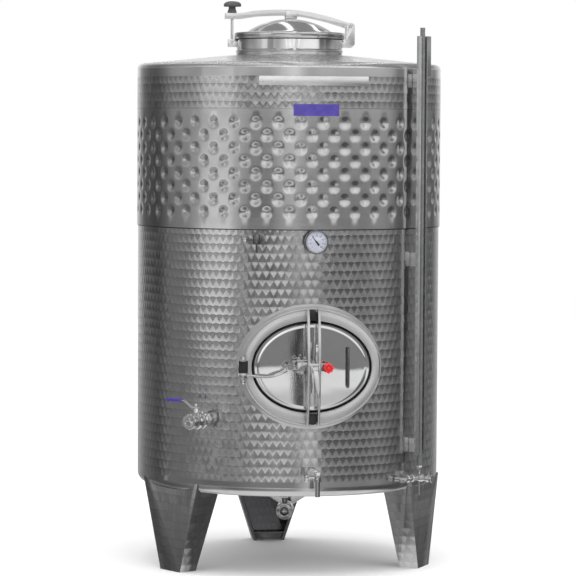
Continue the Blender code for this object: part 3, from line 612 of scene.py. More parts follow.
FINISHES = (
    # Sheet with ground circles: the heights of its zone, the circles' dish and
    # scratches, the colour, and the roughness outside and inside the zone
    (circle_polished, (
        ("wall", "circle_polished_wall", 0.354, 1.262, 0.13, 0.2, steel(0.6), 0.08,
         0.15),
        ("band", "circle_polished_band", 1.7, 1.811, 0.11, 0.2, steel(0.6), 0.1,
         0.15),
        ("leg", "circle_polished_leg", -1, 3, 0.05, 0.25, steel(0.56), 0.18, 0.18,
         True),
        # The back leg's steel is far darker: painted shade for the tank's shadow on it
        ("shaded", "circle_polished_shaded_leg", -1, 3, 0.02, 0.35, steel(0.12),
         0.3, 0.26, True))),
    (matt, (("collar", "blasted_collar", steel(0.56), 0.34),)),
    # Metals: colour, roughness, how the hairlines run, their contrast, dents
    (brushed, (
        ("jacket", "dimpled_sheet", steel(0.58), 0.14, (30, 30, 700), 0.06),
        ("knuckle", "bright_rolled_edge", steel(0.66), 0.2, (18, 18, 900), 0.08),
        ("roof", "mill_sheet", steel(0.8), 0.24, even(220), 0.05, 0.0002),
        ("polished", "polished_steel", steel(0.74), 0.1, (40, 40, 300), 0.03),
        ("mirror", "mirror_polished_door", steel(0.8), 0.01, (300, 90, 90),
         0.03, 0.0005),
        ("bar", "brushed_bar", steel(0.7), 0.26, (900, 900, 45), 0.12),
        ("arm", "brushed_arm", steel(0.88), 0.28, (45, 900, 900), 0.12),
        ("cast", "polished_casting", (0.72, 0.715, 0.71), 0.11, even(160), 0.1,
         0.0004),
        # Darkened steel as painted shade on the door's handle and the upper tap's body
        ("dull", "dull_bar", steel(0.22), 0.24, (90, 90, 200), 0.14),
        # Weld beads darkened into a painted shadow line along the jacket's edges
        ("seam", "dark_weld_seam", steel(0.13), 0.3, even(160), 0.2),
        ("nuts", "turned_nuts", even(0.5), 0.14, even(160), 0.14),
        ("drain", "dull_casting", (0.36, 0.36, 0.355), 0.16, even(160), 0.14),
        ("inside", "plain_inner_sheet", even(0.5), 0.35, even(200), 0.06))),
    # Rubber and plastics: colour, roughness, fineness of the grain, coat
    (moulded, (
        ("rubber", "seal_rubber", even(0.012), 0.55, 900),
        ("block", "black_moulding", even(0.016), 0.42, 600),
        ("knob", "dark_grey_moulding", (0.072, 0.072, 0.074), 0.5, 700),
        ("red", "red_moulding", (0.62, 0.012, 0.016), 0.3, 300, 0.4),
        ("blue", "blue_dipped_grip", (0.028, 0.018, 0.26), 0.35, 400, 0.3),
        ("label", "blue_film", (0.05, 0.034, 0.24), 0.3, 260, 0.4),
        ("dial", "dial_enamel", (0.36, 0.37, 0.43), 0.35, 200, 0.4),
        ("print", "dial_print", (0.02, 0.02, 0.03), 0.4, 500),
        ("tube", "gauge_tube_plastic", (0.11, 0.112, 0.115), 0.34, 60, 0.1))),
)
FINISH = {key: make(*row) for make, rows in FINISHES for key, *row in rows}


def copied(node, width, segments=2):
    """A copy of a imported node, welded, with its edges softened."""
    piece = bpy.data.objects.new(node + "_dressed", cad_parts[node].data.copy())
    bpy.context.scene.collection.objects.link(piece)
    take_up(piece)
    open_mesh()
    bpy.ops.mesh.remove_doubles(threshold=0.00001)
    bpy.ops.mesh.dissolve_limited(angle_limit=math.radians(0.4))
    close_mesh()
    if width:
        soften(piece, width, segments, 35)
    return piece


def vessel():
    """The wall with its oval hole, the band, both ends, the sump and the welds."""
    wall = plain_band(SHELL_RADIUS, WALL, WALL_BOTTOM, JACKET_BOTTOM)
    bpy.ops.mesh.primitive_cylinder_add(
        vertices=128, depth=0.5, rotation=(math.pi / 2, 0, 0),
        location=(0, AXIS_Y - SHELL_RADIUS, MANWAY))
    hole = bpy.context.object
    hole.scale = (*HOLE_HALF, 1)
    placed(hole)
    cut = wall.modifiers.new("manway hole", "BOOLEAN")
    set_up(cut, operation="DIFFERENCE", object=hole)
    apply_modifiers(wall)
    bpy.data.objects.remove(hole, do_unlink=True)
    hand_over(wall, "shell_wall", "wall", "shell_wall_front", "shell_wall_right",
              "shell_wall_back", "shell_wall_left", slot="shell_steel", smooth=30)
    band = plain_band(JACKET_RADIUS, 2 * WALL, JACKET_TOP + PLAY, BAND_TOP)
    soften(band, 0.0004, 1)
    hand_over(band, "top_band", "band", "shell_band_top", slot="shell_steel", smooth=35)
    corner = (JACKET_RADIUS - TOP_KNUCKLE, BAND_TOP)
    roof = round_skin([
        (NECK_RADIUS + PLAY, NECK_BASE),
        *arc(corner, TOP_KNUCKLE, 90, 0, 12),
        (JACKET_RADIUS, BAND_TOP),
        *arc(corner, TOP_KNUCKLE - WALL, 0, 90, 8),
        (NECK_RADIUS + PLAY, NECK_BASE - WALL)], 360)
    hand_over(roof, "roof_sheet", "roof", "roof", slot="shell_steel", smooth=50)
    corner = (SHELL_RADIUS - BOTTOM_KNUCKLE, WALL_BOTTOM - 0.0002)
    bottom = round_skin([
        *arc(corner, BOTTOM_KNUCKLE, 0, -90, 12),
        (SUMP_RADIUS, SUMP_TOP),
        (SUMP_RADIUS, SUMP_TOP + WALL),
        *arc(corner, BOTTOM_KNUCKLE - WALL, -90, 0, 8)], 360)
    hand_over(bottom, "bottom_dish", "knuckle", "bottom_head", slot="shell_steel",
              smooth=50)
    sump = copied("drain_sump", 0.002, 3)
    hand_over(sump, "sump_cone", "roof", "drain_sump", slot="shell_steel", smooth=35)
    for name, finish, height, radius, thick in (
        # The jacket's two weld beads are darkened: a painted shadow line at its edges
        ("jacket_weld_top", "seam", JACKET_TOP, JACKET_RADIUS - 0.0014, 0.0016),
        ("jacket_weld_bottom", "seam", JACKET_BOTTOM - 0.0016, SHELL_RADIUS + 0.0014,
         0.0018),
        ("sump_weld", "knuckle", SUMP_TOP - 0.0004, SUMP_RADIUS - 0.0003, 0.0011),
    ):
        bpy.ops.mesh.primitive_torus_add(
            major_segments=256, minor_segments=8, major_radius=radius,
            minor_radius=thick, location=(0, AXIS_Y, height))
        hand_over(placed(bpy.context.object), name, finish, slot="shell_steel",
                  smooth=35)


def dimpled_jacket():
    """The jacket's sheet: one tile with its dimples, repeated and rolled round."""
    width = math.tau * JACKET_RADIUS / DIMPLES_ROUND
    high = 2 * DIMPLE_ROW
    bpy.ops.mesh.primitive_grid_add(x_subdivisions=20, y_subdivisions=22, size=1)
    tile = bpy.context.object
    tile.scale = (width, high, 1)
    placed(tile)
    open_mesh()
    for across, up in ((0, 0.25), (-0.5, -0.25), (0.5, -0.25)):
        centre = Vector((across * width, up * high))
        pick(tile, lambda co: (co.xy - centre).length < DIMPLE_FLAT)
        bpy.ops.transform.translate(
            value=(0, 0, -DIMPLE_DEPTH), use_proportional_edit=True,
            use_proportional_connected=False, proportional_edit_falloff="SMOOTH",
            proportional_size=DIMPLE_SPREAD)
    close_mesh()
    placed(tile, shift(width / 2, high / 2 + DIMPLE_LOW, 0))
    for offset, count in (
        ((width, 0, 0), DIMPLES_ROUND), ((0, high, 0), DIMPLE_ROWS // 2)
    ):
        repeat = tile.modifiers.new("repeat", "ARRAY")
        set_up(repeat, count=count, use_relative_offset=False, use_constant_offset=True,
               constant_offset_displace=offset, use_merge_vertices=True,
               merge_threshold=0.0001)
    apply_modifiers(tile)
    open_mesh()
    bottom, top = JACKET_BOTTOM + PLAY, JACKET_TOP
    dimples_top = DIMPLE_LOW + DIMPLE_ROWS * DIMPLE_ROW
    for edge, limit in ((DIMPLE_LOW, bottom), (dimples_top, top)):
        first = edge + (limit - edge) * 0.8
        for start, goal in ((edge, first), (first, limit)):
            pick(tile, lambda co: abs(co.y - start) < 1e-5)
            extrude(0, goal - start, 0)
    for edge in (bottom, top):
        pick(tile, lambda co: abs(co.y - edge) < 1e-5)
        extrude(0, 0, -JACKET_EDGE)
    close_mesh()
    for vert in tile.data.vertices:
        angle = vert.co.x / JACKET_RADIUS
        radius = JACKET_RADIUS + vert.co.z
        vert.co = (radius * math.sin(angle), AXIS_Y - radius * math.cos(angle), vert.co.y)
    open_mesh()
    bpy.ops.mesh.remove_doubles(threshold=0.0001)
    close_mesh()
    hand_over(tile, "jacket_sheet", "jacket", "cooling_jacket", slot="jacket_steel",
              smooth=50)


def manhole():
    """The neck with its bead, the domed lid and the rubber between them."""
    radius = NECK_RADIUS
    low, middle, high = BEAD_HEIGHTS
    neck = round_skin([
        (radius, NECK_TOP),
        (radius, high),
        *arc((radius + 0.0004, middle), 0.0031, 70, -70, 8),
        (radius, low),
        (radius, NECK_FOOT),
        (radius - WALL, NECK_FOOT),
        (radius - WALL, NECK_TOP)], 224)
    soften(neck, 0.0006)
    hand_over(neck, "manhole_collar", "polished", "manhole_neck")
    height = DOME_TOP - DOME_BASE
    sphere = (DOME_RADIUS**2 + height**2) / (2 * height)
    centre = (0, DOME_TOP - sphere)
    reach = math.degrees(math.asin(DOME_RADIUS / sphere))
    outer = arc(centre, sphere, 90, 90 - reach, 20)
    inner = arc(centre, sphere - WALL, 90 - reach, 90, 12)
    outer[0] = (0, DOME_TOP)
    inner[-1] = (0, DOME_TOP - WALL)
    rim = [
        (DOME_RADIUS + 0.004, LID_TOP + 0.0014),
        (LID_RADIUS - 0.006, LID_TOP),
        *arc((LID_RADIUS - LID_CORNER, LID_TOP - LID_CORNER), LID_CORNER, 80, 0, 6),
        (LID_RADIUS, SKIRT + 0.001),
        (LID_RADIUS - 0.0008, SKIRT),
        (LID_RADIUS - WALL, SKIRT),
        (LID_RADIUS - WALL, LID_TOP - WALL),
        (DOME_RADIUS, LID_TOP - WALL)]
    lid = round_skin([*outer, *rim, *inner], 224, closed=False)
    hand_over(lid, "domed_lid", "polished", "lid", body="lid")
    seal = plain_band(LID_RADIUS - WALL - 0.0005, SEAL_WIDTH, NECK_TOP + PLAY,
                      LID_TOP - WALL - PLAY, 192)
    soften(seal, 0.0012, 3)
    hand_over(seal, "lid_rubber", "rubber", "lid_gasket", slot="seal_rubber", body="lid")


def manway():
    """The pressed oval collar, the dished door and its black seal."""
    collar = oval_skin([
        (*COLLAR_HALF, FRAME_FOOT), (*COLLAR_HALF, 0.569), (0.2598, 0.2222, 0.5712),
        (0.255, 0.215, 0.5735), (0.2542, 0.2132, 0.5765), (0.2538, 0.212, 0.585),
        (0.2525, 0.2104, 0.5884), (0.25, 0.2078, 0.5898), (0.2474, 0.205, 0.589),
        (0.2462, 0.2036, 0.5872), (0.245, 0.2022, 0.5886),
        (0.2438, 0.2008, FRAME_FACE), (0.2195, 0.167, FRAME_FACE),
        (0.2175, 0.165, 0.588), (0.2175, 0.165, FRAME_LIP), (0.2205, 0.168, FRAME_LIP),
        (0.2205, 0.168, 0.587), (0.246, 0.204, 0.587), (0.252, 0.214, 0.578),
        (0.258, 0.221, FRAME_FOOT)])
    # Its outer rim follows the round wall, and its face stays flat
    for vert in collar.data.vertices:
        x, up = vert.co.x, vert.co.z - MANWAY
        if (x / COLLAR_HALF[0]) ** 2 + (up / COLLAR_HALF[1]) ** 2 < 0.88:
            continue
        wall = math.sqrt((SHELL_RADIUS + PLAY) ** 2 - x * x)
        lift = AXIS_Y - vert.co.y - FRAME_FOOT
        share = min(1.0, lift / (FRAME_FACE - FRAME_FOOT))
        vert.co.y = AXIS_Y - (wall + (FRAME_FACE - wall) * share)
    hand_over(collar, "manway_collar", "collar", "manway_frame", slot="brushed_fittings",
              smooth=60)
    wide, high = DOOR_HALF
    front = [(0.1 * i, DOOR_FACE - DOOR_BULGE * (0.1 * i) ** 2) for i in range(10)]
    front += [(0.938, 0.59013), (0.945, 0.5897), (0.952, 0.5896), (0.986, 0.5895),
              (0.996, 0.5876), (1.0, 0.5845)]
    rings = [(wide * s, high * s, reach) for s, reach in front]
    rings += [(wide, high, 0.574), (wide - WALL, high - WALL, 0.574),
              (wide - WALL, high - WALL, 0.5835)]
    back = reversed(front[:11])
    rings += [(wide * s, high * s, reach - WALL) for s, reach in back]
    door = oval_skin(rings, closed=False)
    hand_over(door, "dished_door", "mirror", "manway_door", body="manway_door")
    seal = oval_skin([(0.2125, 0.16, 0.5865), (0.2098, 0.1573, 0.5865),
                      (0.2098, 0.1573, 0.575), (0.2125, 0.16, 0.575)])
    soften(seal, 0.0008)
    hand_over(seal, "door_rubber", "rubber", "manway_seal", slot="seal_rubber",
              body="manway_door")


# Copied nodes: slot, finish, then node, edge in millimetres, body if not the tank
FITTINGS = (
    ("shell_steel", "inside", (("shell_wall_upper", 0),)),
    ("brushed_fittings", "arm", (
        ("lid_hinge_bracket", 0.8), ("bolt_bracket", 0.6),
        ("clamp_arm", 2.2, "lid"), ("arm_saddle", 1.0, "lid"),
        ("ladder_rail", 0.8))),
    ("brushed_fittings", "cast", (
        ("lid_hinge_pin", 0.6), ("swing_bolt", 0.5, "swing_bolt"))),
    ("brushed_fittings", "bar", (
        ("door_yoke", 1.0, "manway_door"), ("gauge_channel", 0.5))),
    ("brushed_fittings", "leg", (
        ("leg_front_left", 1.0), ("leg_front_right", 1.0))),
    # The back leg takes the darker circle-polished steel as painted shade
    ("brushed_fittings", "shaded", (("leg_back", 1.0),)),
    ("polished_steel", "cast", (
        ("manway_hinge_pin", 0.6), ("hinge_arm", 0.6, "manway_door"),
        ("upper_tap_handle", 1.2, "upper_tap_handle"), ("lower_tap_body", 0.8),
        ("lower_tap_handle", 1.4, "lower_tap_handle"),
        ("side_valve_nipple", 1.0), ("side_valve_body", 1.0),
        ("drain_valve_nipple", 1.0), ("gauge_cock_body", 0.6),
        ("gauge_cock_handle", 0.8, "gauge_cock_handle"))),
    # The door's handle and the upper tap's body take darkened steel as painted shade
    ("polished_steel", "dull", (
        ("door_handle", 0, "manway_door"), ("upper_tap_body", 0.8))),
    ("polished_steel", "drain", (("drain_valve_body", 1.0),)),
    ("polished_steel", "arm", (
        ("side_valve_lever", 0.6, "side_valve_lever"),
        ("drain_valve_lever", 0.6, "drain_valve_lever"))),
    ("blue_plastic", "blue", (
        ("side_valve_grip", 2.0, "side_valve_lever"),
        ("drain_valve_grip", 2.0, "drain_valve_lever"))),
    ("clear_plastic", "tube", (("gauge_tube", 0.8),)),
    ("label_blue", "label", (("label_plate", 0),)),
    ("dial_white", "dial", (("thermometer_dial", 0.3),)),
)


def fittings():
    for slot, finish, rows in FITTINGS:
        for node, edge, *body in rows:
            hand_over(copied(node, edge / 1000), node + "_dressed", finish, node,
                      slot=slot, body=body[0] if body else "tank", smooth=35)


def thermometer():
    """The dial in its bezel, with its marks, numbers and black pointer."""
    place = at_wall(*THERMOMETER)
    face = place @ shift(0, 0, 0.60385)
    case = turned(
        [(10, 565.5), (10, 586.5), (41.2, 587), (43, 588.8), (43, 603.6), (42, 606),
         (40.2, 607.6), (39, 607), (37.9, 604.6), (37.7, 601.7)], place, 96)
    hand_over(case, "thermometer_bezel", "drain", "thermometer_case")
    marks = [turned([(34.4, 0), (34.7, 0), (34.7, 0.12), (34.4, 0.12)], face, 96,
                    closed=True)]
    for i in range(41):
        start, half = (30.8, 0.32) if i % 5 else (28.5, 0.6)
        turn = turn_about("Z", 225 - 270 * i / 40)
        marks.append(plate(oblong(start, -half, 33.8, half), 0.12, face @ turn, 0))
    hand_over(joined(marks), "dial_marks", "print", slot="dial_white", smooth=None)
    numbers = []
    for i in range(9):
        turn = math.radians(225 - 270 * i / 8)
        spot = shift(0.024 * math.cos(turn), 0.024 * math.sin(turn), 0)
        bpy.ops.object.text_add()
        number = bpy.context.object
        set_up(number.data, body=str(10 * i), size=0.0078, extrude=0.00006,
               align_x="CENTER", align_y="CENTER")
        bpy.ops.object.convert(target="MESH")
        numbers.append(placed(number, face @ spot))
    hand_over(joined(numbers), "dial_numbers", "print", slot="dial_white", smooth=None)
    lean = face @ shift(0, 0, 0.0007) @ turn_about("Z", 128)
    needle = plate([(28.5, 0), (6, 1.8), (-6, 3), (-14, 4.2), (-14, -4.2), (-6, -3),
                    (6, -1.8)], 0.5, lean, 0)
    hub = turned([(3.6, 0), (3.6, 1.4), (2.8, 1.9)], lean, 24)
    hand_over(joined([needle, hub]), "dial_pointer", "print", slot="dial_white")


def lobes(piece, centre, axes, start, count, depth):
    """Presses hollows between the lobes of a knob's rim."""
    first, second = axes
    for vert in piece.data.vertices:
        across = vert.co[first] - centre[first]
        up = vert.co[second] - centre[second]
        reach = math.hypot(across, up)
        if reach <= start:
            continue
        wave = 0.5 - 0.5 * math.cos(count * math.atan2(up, across))
        share = min(1.0, (reach - start) / (0.25 * start))
        shrink = 1 - depth * wave * share
        vert.co[first] = centre[first] + across * shrink
        vert.co[second] = centre[second] + up * shrink


def knobs():
    """The moulded star knob of the lid's bolt and the red knob of the manway."""
    foot = (-0.217, 0.056, 2.0561)
    star = turned(
        [(16.5, 0), (17.5, 1.2), (17, 5), (14, 13), (12.8, 20), (13.8, 25),
         (19, 26.8), (25, 25.6), (30, 23.2), (33, 23.7), (34.5, 27.5), (34, 32.5),
         (31.2, 36.8), (25.5, 40.2), (16, 42.5), (7.5, 43.8), (0, 44.1)],
        shift(*foot), 80)
    lobes(star, foot, (0, 1), 0.019, 5, 0.18)
    hand_over(star, "star_knob", "knob", "clamp_knob", slot="knob_plastic",
              body="clamp_knob", smooth=50)
    foot = (0.051, -0.5786, MANWAY)
    red = turned(
        [(15, 0), (18.2, 2.2), (19.5, 6.5), (19.5, 12.5), (18.2, 17), (15, 19.6),
         (12.8, 19.6), (11.8, 17), (11.2, 13.8), (7, 13.6), (6, 16.5), (4.5, 17.2)],
        facing(*foot), 80)
    lobes(red, foot, (0, 2), 0.009, 8, 0.15)
    hand_over(red, "red_knob", "red", "locking_knob", slot="red_plastic",
              body="locking_knob", smooth=50)


def hinge_hardware():
    """The ribbed hinge barrel with its washers, cap nuts and foot plate."""
    x, y = -0.251, -0.556
    ribs = []
    for i in range(14):
        low = 756.2 + 3 * i
        ribs += [(16.3, low), (17.3, low + 0.6), (17.3, low + 2), (16.3, low + 2.6)]
    barrel = turned(ribs, shift(x, y, 0), 40)
    hand_over(barrel, "hinge_barrel", "block", "manway_hinge_block",
              slot="hinge_plastic", smooth=50)
    washer = [(18, 0), (18.6, 0.8), (18, 1.8)]
    under = shift(x, y, 0.7392) @ turn_about("X", 180)
    hardware = joined([
        turned(washer, shift(x, y, 0.7984), 40),
        turned(washer, shift(x, y, 0.754), 40),
        acorn_nut(9.8, 15.2, shift(x, y, 0.8004)),
        acorn_nut(9.8, 15, under),
        plate(oblong(-16.5, 733, 16.5, 799.5), 4, facing(x, -0.5342, 0), 0.8)])
    hand_over(hardware, "hinge_nuts", "cast")


def spindle_hardware():
    """The clevis and nuts on the door's spindle, and the guide above them."""
    z = MANWAY
    clevis = [(-60, -21), (-30, -21), (-26.2, -10), (-26.2, 16), (-30, 23), (-60, 23),
              (-63.5, 12), (-63.5, -14)]
    round_nut = [(7.5, -16), (8, -3), (11.2, -1), (11.5, 5), (10, 8), (7.2, 8),
                 (6.2, 4.5)]
    bolt = facing(-0.0445, -0.597, z)
    side = shift(-0.0262, -0.581, z) @ turn_about("Y", -90)
    spindle = joined([
        turned(round_nut, facing(-0.087, -0.593, z + 0.006), 40),
        plate(clevis, 5, facing(0, -0.592, z), 1.4),
        plate(oblong(-64, -3.5, -26.5, 3.5), 16, facing(0, -0.584, z + 0.027), 0.8),
        hex_nut(11.2, 7, bolt),
        turned([(5.6, 0), (5.6, 10.5), (4.6, 11.8)], bolt, 24),
        acorn_nut(6, 10.5, shift(-0.056, -0.592, z + 0.0305)),
        acorn_nut(6, 12.5, shift(-0.0345, -0.592, z + 0.0305)),
        turned([(8.5, 0), (9.5, 1), (9.5, 6), (8.5, 7)], side, 32)])
    hand_over(spindle, "spindle_nuts", "nuts", body="manway_door")
    guide = joined([
        plate(oblong(3.5, 792, 12.5, 858), 4, facing(0, -0.596, 0), 1),
        turned([(4, 0), (4, 2.2), (2.8, 3.4)], facing(0.008, -0.6, 0.851), 20)])
    hand_over(guide, "spindle_guide", "cast", body="manway_door")


def yoke_hardware():
    """The two pads at the yoke's ends and the lever that hangs from it."""
    for name, flat_end, round_end, start in (
        ("upper", 939.5, 963.8, 0), ("lower", 606.5, 582.2, 180)
    ):
        outline = arc((0, round_end), 15.2, start, start + 180, 12)
        outline += [(outline[-1][0], flat_end), (outline[0][0], flat_end)]
        pad = plate(outline, 26, facing(0, -0.5343, 0), 2)
        hand_over(pad, name + "_pad", "rubber", "yoke_pad_" + name, slot="seal_rubber",
                  body="manway_door")
    hub = turned(
        [(4.6, -10.4), (11.6, -10.4), (12.5, -9.6), (12.5, 9.6), (11.6, 10.4),
         (4.6, 10.4)], shift(0, -0.6057, 0.77) @ turn_about("Y", 90),
        40, closed=True)
    bar = plate(
        [(-8.5, 766), (-5.5, 735), (-0.2, 705), (6.2, 688), (7.8, 668), (14.5, 668),
         (16, 688), (16.6, 705), (13, 735), (8.8, 766)], 10.5,
        facing(0, -0.6135, 0), 3)
    hand_over(joined([hub, bar]), "hanging_lever", "arm", "clamp_lever",
              body="clamp_lever")


def castings():
    """Turned bodies of the valves, the taps' rosettes and the gauge cock's barrel."""
    for name, finish, place, profile in (
        ("side_valve_casting", "cast", SIDE_VALVE, (
            (23.5, 607.5), (26.2, 609), (31.2, 612), (31.8, 624), (28.5, 627.5),
            (28.5, 632), (32.2, 637), (33.8, 647), (33, 658), (29.5, 666), (26.2, 669),
            (26.2, 673), (29.6, 676), (30, 690), (28.4, 693), (27.8, 701.5),
            (26.2, 703.2), (18.5, 703.2), (16.3, 701), (16.1, 690), (20, 670),
            (20, 610))),
        ("drain_valve_casting", "drain", DRAIN_VALVE, (
            (24, 234), (30, 236.5), (31.5, 242), (31.5, 260), (30, 267), (27.2, 271.8),
            (24.8, 271.8), (23.2, 268), (22.6, 260), (20.6, 260), (20, 268),
            (18.6, 271.6), (16.8, 271.6), (16.2, 268), (16.2, 250), (20, 240))),
    ):
        body = turned(profile, at_wall(*place), 64, closed=True)
        hand_over(body, name, finish, smooth=35)
    for name, place, wide in (
        ("upper_tap_rosette", UPPER_TAP, 18.5), ("lower_tap_rosette", LOWER_TAP, 20.5)
    ):
        steps = [(wide, 565.2), (wide, 568)]
        for i in range(4):
            r, h = wide * (1 - 0.12 * i), 569 + 3 * i
            steps += [(r, h), (r - 0.7, h + 1.6), (r - 1.6, h + 1)]
        steps.append((wide * 0.52, 579))
        rosette = turned(steps, at_wall(*place), 56)
        hand_over(rosette, name, "arm")
    barrel = turned(
        [(12.5, 566.5), (13, 572), (10.8, 574.5), (10.8, 590), (13.6, 593),
         (14.8, 600), (14.8, 611), (13.6, 618), (11, 621.5), (11, 633.5), (13.8, 636.5),
         (13.8, 644), (12, 646.5), (12, 650.5), (14.6, 654), (15, 659), (13.8, 660.5)],
        at_wall(*GAUGE_COCK), 40)
    stem = turned(
        [(11.2, 0), (11.2, 12), (13.8, 15), (13.8, 29), (10.6, 32.5),
         (10.6, 42), (14.2, 45), (14.2, 57), (11.2, 60), (9.8, 70), (12.8, 84),
         (13.4, 89.5)], at_wall(*GAUGE_COCK, 0.588) @ turn_about("Y", -90), 40)
    hand_over(joined([barrel, stem]), "gauge_cock_casting", "cast")


def studio():
    """The pale floor, the soft lights, the grey surroundings and the camera."""
    bpy.ops.mesh.primitive_circle_add(vertices=96, radius=14, fill_type="NGON")
    floor = bpy.context.object
    floor.name = "studio_floor"
    pale, _, sockets, _ = blank("pale_floor", 0.0, 0.9)
    sockets["Base Color"].default_value = grey(0.93)
    floor.data.materials.append(pale)
    floor.visible_glossy = False
    # Lights: place, size and power, and whether polished steel mirrors them
    for name, place, size, power, seen in (
        ("soft_top", (0.0, -1.5, 5.5), (5.0, 5.0), 150.0, False),
        ("soft_right", (4.5, -4.0, 3.0), (3.0, 3.0), 40.0, False),
        ("tall_window", (-2.25, -1.35, 1.95), (1.15, 2.6), 1.9, True),
    ):
        lamp = bpy.data.lights.new(name, "AREA")
        set_up(lamp, shape="RECTANGLE", size=size[0], size_y=size[1], energy=power)
        holder = bpy.data.objects.new(name, lamp)
        aim = Vector((0, 0, place[2] if seen else 0.9)) - Vector(place)
        set_up(holder, location=place, visible_glossy=seen, visible_camera=False,
               rotation_euler=aim.to_track_quat("-Z", "Y").to_euler())
        bpy.context.scene.collection.objects.link(holder)
    surroundings()
    lens = set_up(bpy.data.cameras.new("camera"), sensor_width=36.0, lens=CAMERA_LENS)
    camera = bpy.data.objects.new("camera", lens)
    turn = math.radians(CAMERA_TURN)
    camera.location = (-CAMERA_DISTANCE * math.sin(turn),
                       AXIS_Y - CAMERA_DISTANCE * math.cos(turn), CAMERA_HEIGHT)
    look = turn_about("Z", -CAMERA_TURN) @ turn_about("X", CAMERA_PITCH)
    camera.rotation_euler = (look @ turn_about("Z", CAMERA_ROLL)).to_euler()
    bpy.context.scene.collection.objects.link(camera)
    bpy.context.scene.camera = camera


# How bright the room is round the tank: bearings from the camera in degrees and
# hundredths of white, for the floor at the tank's foot, near, in its shade and far
# off, then for the walls low, in the middle and high, and for the ceiling
FOOT_FLOOR = (
    (-180, 50), (-118, 8), (-99, 12), (-64, 30), (-54, 28), (-49, 10), (-45, 10),
    (-40, 16), (-28, 22), (-10, 30), (8, 28), (13, 80), (22, 80), (28, 14), (60, 10),
    (84, 7), (117, 10), (142, 12),
)
NEAR_FLOOR = (
    (-180, 60), (-142, 16), (-118, 7), (-99, 18), (-84, 20), (-66, 34), (-57, 36),
    (-42, 36), (-32, 50), (-26, 74), (-6, 90), (2, 84), (7, 40), (12, 70), (22, 70),
    (26, 12), (60, 10), (72, 16), (84, 12), (100, 6), (117, 18), (142, 9),
)
SHADED_FLOOR = (
    (-180, 60), (-142, 20), (-118, 10), (-108, 13), (-107, 34), (-104, 34), (-103, 17),
    (-99, 20), (-84, 18), (-57, 11), (-45, 14), (-24, 28), (-4, 28), (5, 28), (12, 50),
    (15, 62), (20, 58), (23, 28), (33, 30), (58, 26), (72, 30), (85, 22), (98, 10),
    (117, 24), (137, 17), (138.5, 34), (141, 34), (143, 17),
)
FAR_FLOOR = (
    (-180, 65), (-142, 26), (-118, 12), (-99, 22), (-84, 20), (-57, 20), (-45, 22),
    (-24, 22), (-8, 22), (4, 28), (11, 80), (16.9, 85), (24, 85), (33, 60), (45, 50),
    (58, 40), (72, 40), (85, 22), (98, 12), (117, 24), (142, 14),
)
LOW_WALL = (
    (-180, 75), (-164, 65), (-152, 45), (-142, 12), (-118, 5), (-108, 11), (-99, 20),
    (-84, 26), (-70, 74), (-57, 105), (-45, 96), (-36, 44), (-28, 9), (-10, 8),
    (-3, 14), (4, 18), (10, 22), (16.9, 24), (33, 26), (58, 23), (72, 36), (82, 28),
    (90, 11), (100, 8), (114, 24), (132, 15), (142, 9), (158, 42),
)
MIDDLE_WALL = (
    (-180, 85), (-160, 65), (-151, 35), (-142, 14), (-118, 7), (-108, 14), (-99, 26),
    (-84, 32), (-70, 55), (-57, 64), (-45, 62), (-36, 52), (-28, 18), (-14, 18),
    (-6, 62), (4, 84), (9, 44), (16, 24), (33, 20), (58, 21), (72, 30), (82, 30),
    (90, 14), (100, 12), (114, 26), (132, 20), (142, 12), (158, 52),
)
HIGH_WALL = (
    (-180, 100), (-160, 90), (-151, 42), (-144, 28), (-130, 15), (-118, 16), (-108, 26),
    (-99, 46), (-88, 56), (-70, 34), (-57, 32), (-45, 56), (-30, 88), (-8, 86),
    (2, 110), (7, 118), (12, 92), (15, 82), (20, 82), (24, 92), (44, 90), (56, 94),
    (72, 86), (83, 68), (90, 34), (98, 42), (107, 50), (120, 38), (134, 44), (145, 35),
    (160, 90),
)
CEILING = (
    (-180, 80), (-150, 35), (-134, 12), (-118, 8), (-99, 28), (-84, 34), (-70, 55),
    (-57, 66), (-51, 66), (-49, 14), (-38, 14), (-36, 58), (-26, 45), (-11, 85),
    (0, 110), (7, 115), (13, 80), (22, 95), (33, 110), (62, 115), (69, 100), (71, 13),
    (83, 13), (85, 33), (90, 10), (102, 7), (117, 22), (130, 18), (142, 8), (158, 30),
)
# The heights between which each part of the room takes over from the one below it
LOWER_ROOM = (
    (-0.8, -0.7, FOOT_FLOOR), (-0.34, -0.28, NEAR_FLOOR),
    (-0.175, -0.145, SHADED_FLOOR), (-0.112, -0.1, FAR_FLOOR),
    (-0.0835, -0.0795, LOW_WALL), (-0.04, -0.03, MIDDLE_WALL),
)
UPPER_ROOM = ((0.009, 0.021, HIGH_WALL), (0.18, 0.3, CEILING))
# A dark post that stands in the door's reflection: bearings and tones
DARK_POST = ((16.74, 17.1, 0.025), (17.1, 17.4, 0.1))
# Bright tubes under the ceiling: how far to the side of the tank each one runs
CEILING_TUBES = (-0.62, -0.3, 0.1, 0.55)


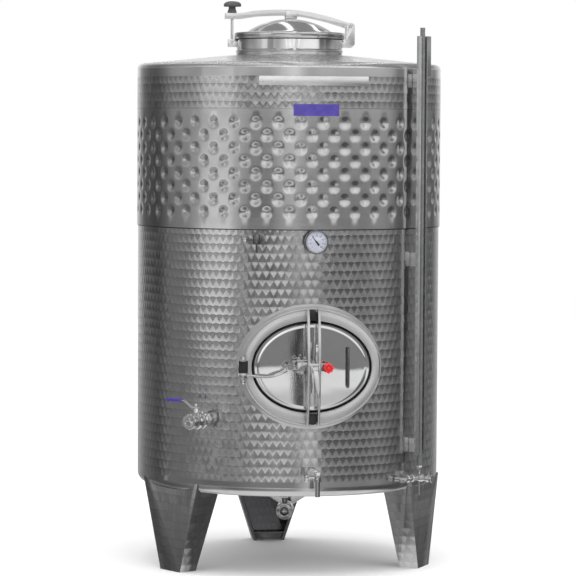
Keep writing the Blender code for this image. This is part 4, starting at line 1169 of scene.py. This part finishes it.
def surroundings():
    """The room as the steel mirrors it, with plain white behind for the camera."""
    world = bpy.data.worlds.new("studio")
    bpy.context.scene.world = world
    world.use_nodes = True
    world.node_tree.nodes.clear()
    wires = Wires(world.node_tree)
    way = wires.add("TexCoord").outputs["Generated"]
    x, y, z = wires.add("SeparateXYZ", {"Vector": way}).outputs
    bearing = wires.math("ARCTAN2", x, wires.times(y, -1.0))
    bearing = wires.plus(bearing, math.radians(CAMERA_TURN))
    share = wires.math("FRACT", wires.plus(wires.over(bearing, math.tau), 0.5))

    def with_layers(room, layers):
        for low, high, tones in layers:
            closed = (*tones, (180, tones[0][1]))
            stops = [((bearing + 180) / 360, tone / 100) for bearing, tone in closed]
            room = wires.mix(wires.span(z, low, high), room, wires.ramp(share, stops))
        return room

    room = with_layers(grey(0.85), LOWER_ROOM)
    edge = math.radians(0.03)
    for start, end, tone in DARK_POST:
        start, end = math.radians(start), math.radians(end)
        post = wires.times(wires.span(bearing, start - edge, start + edge),
                           wires.span(bearing, end - edge, end + edge, 1.0, 0.0))
        post = wires.times(post, wires.span(z, -0.15, -0.14))
        room = wires.mix(post, room, grey(tone))
    room = with_layers(room, UPPER_ROOM)
    room = wires.mix(wires.span(z, 0.38, 0.5), room, grey(0.3))
    aside = wires.over(x, wires.math("MAXIMUM", z, 0.05))
    for side in CEILING_TUBES:
        off = wires.math("ABSOLUTE", wires.minus(aside, side))
        tube = wires.times(wires.span(off, 0.035, 0.05, 1.0, 0.0),
                           wires.span(z, 0.3, 0.38))
        room = wires.mix(tube, room, grey(1.7))
    paths = wires.add("LightPath").outputs
    seen = wires.mix(paths["Is Diffuse Ray"], room, grey(1.2))
    seen = wires.mix(paths["Is Camera Ray"], seen, grey(1.0))
    sky = wires.add("Background", {"Color": seen, "Strength": 1.0})
    wires.add("OutputWorld", {"Surface": sky.outputs[0]})
    bpy.context.scene.view_settings.view_transform = "Standard"


vessel()
dimpled_jacket()
manhole()
manway()
fittings()
thermometer()
knobs()
hinge_hardware()
spindle_hardware()
yoke_hardware()
castings()
studio()
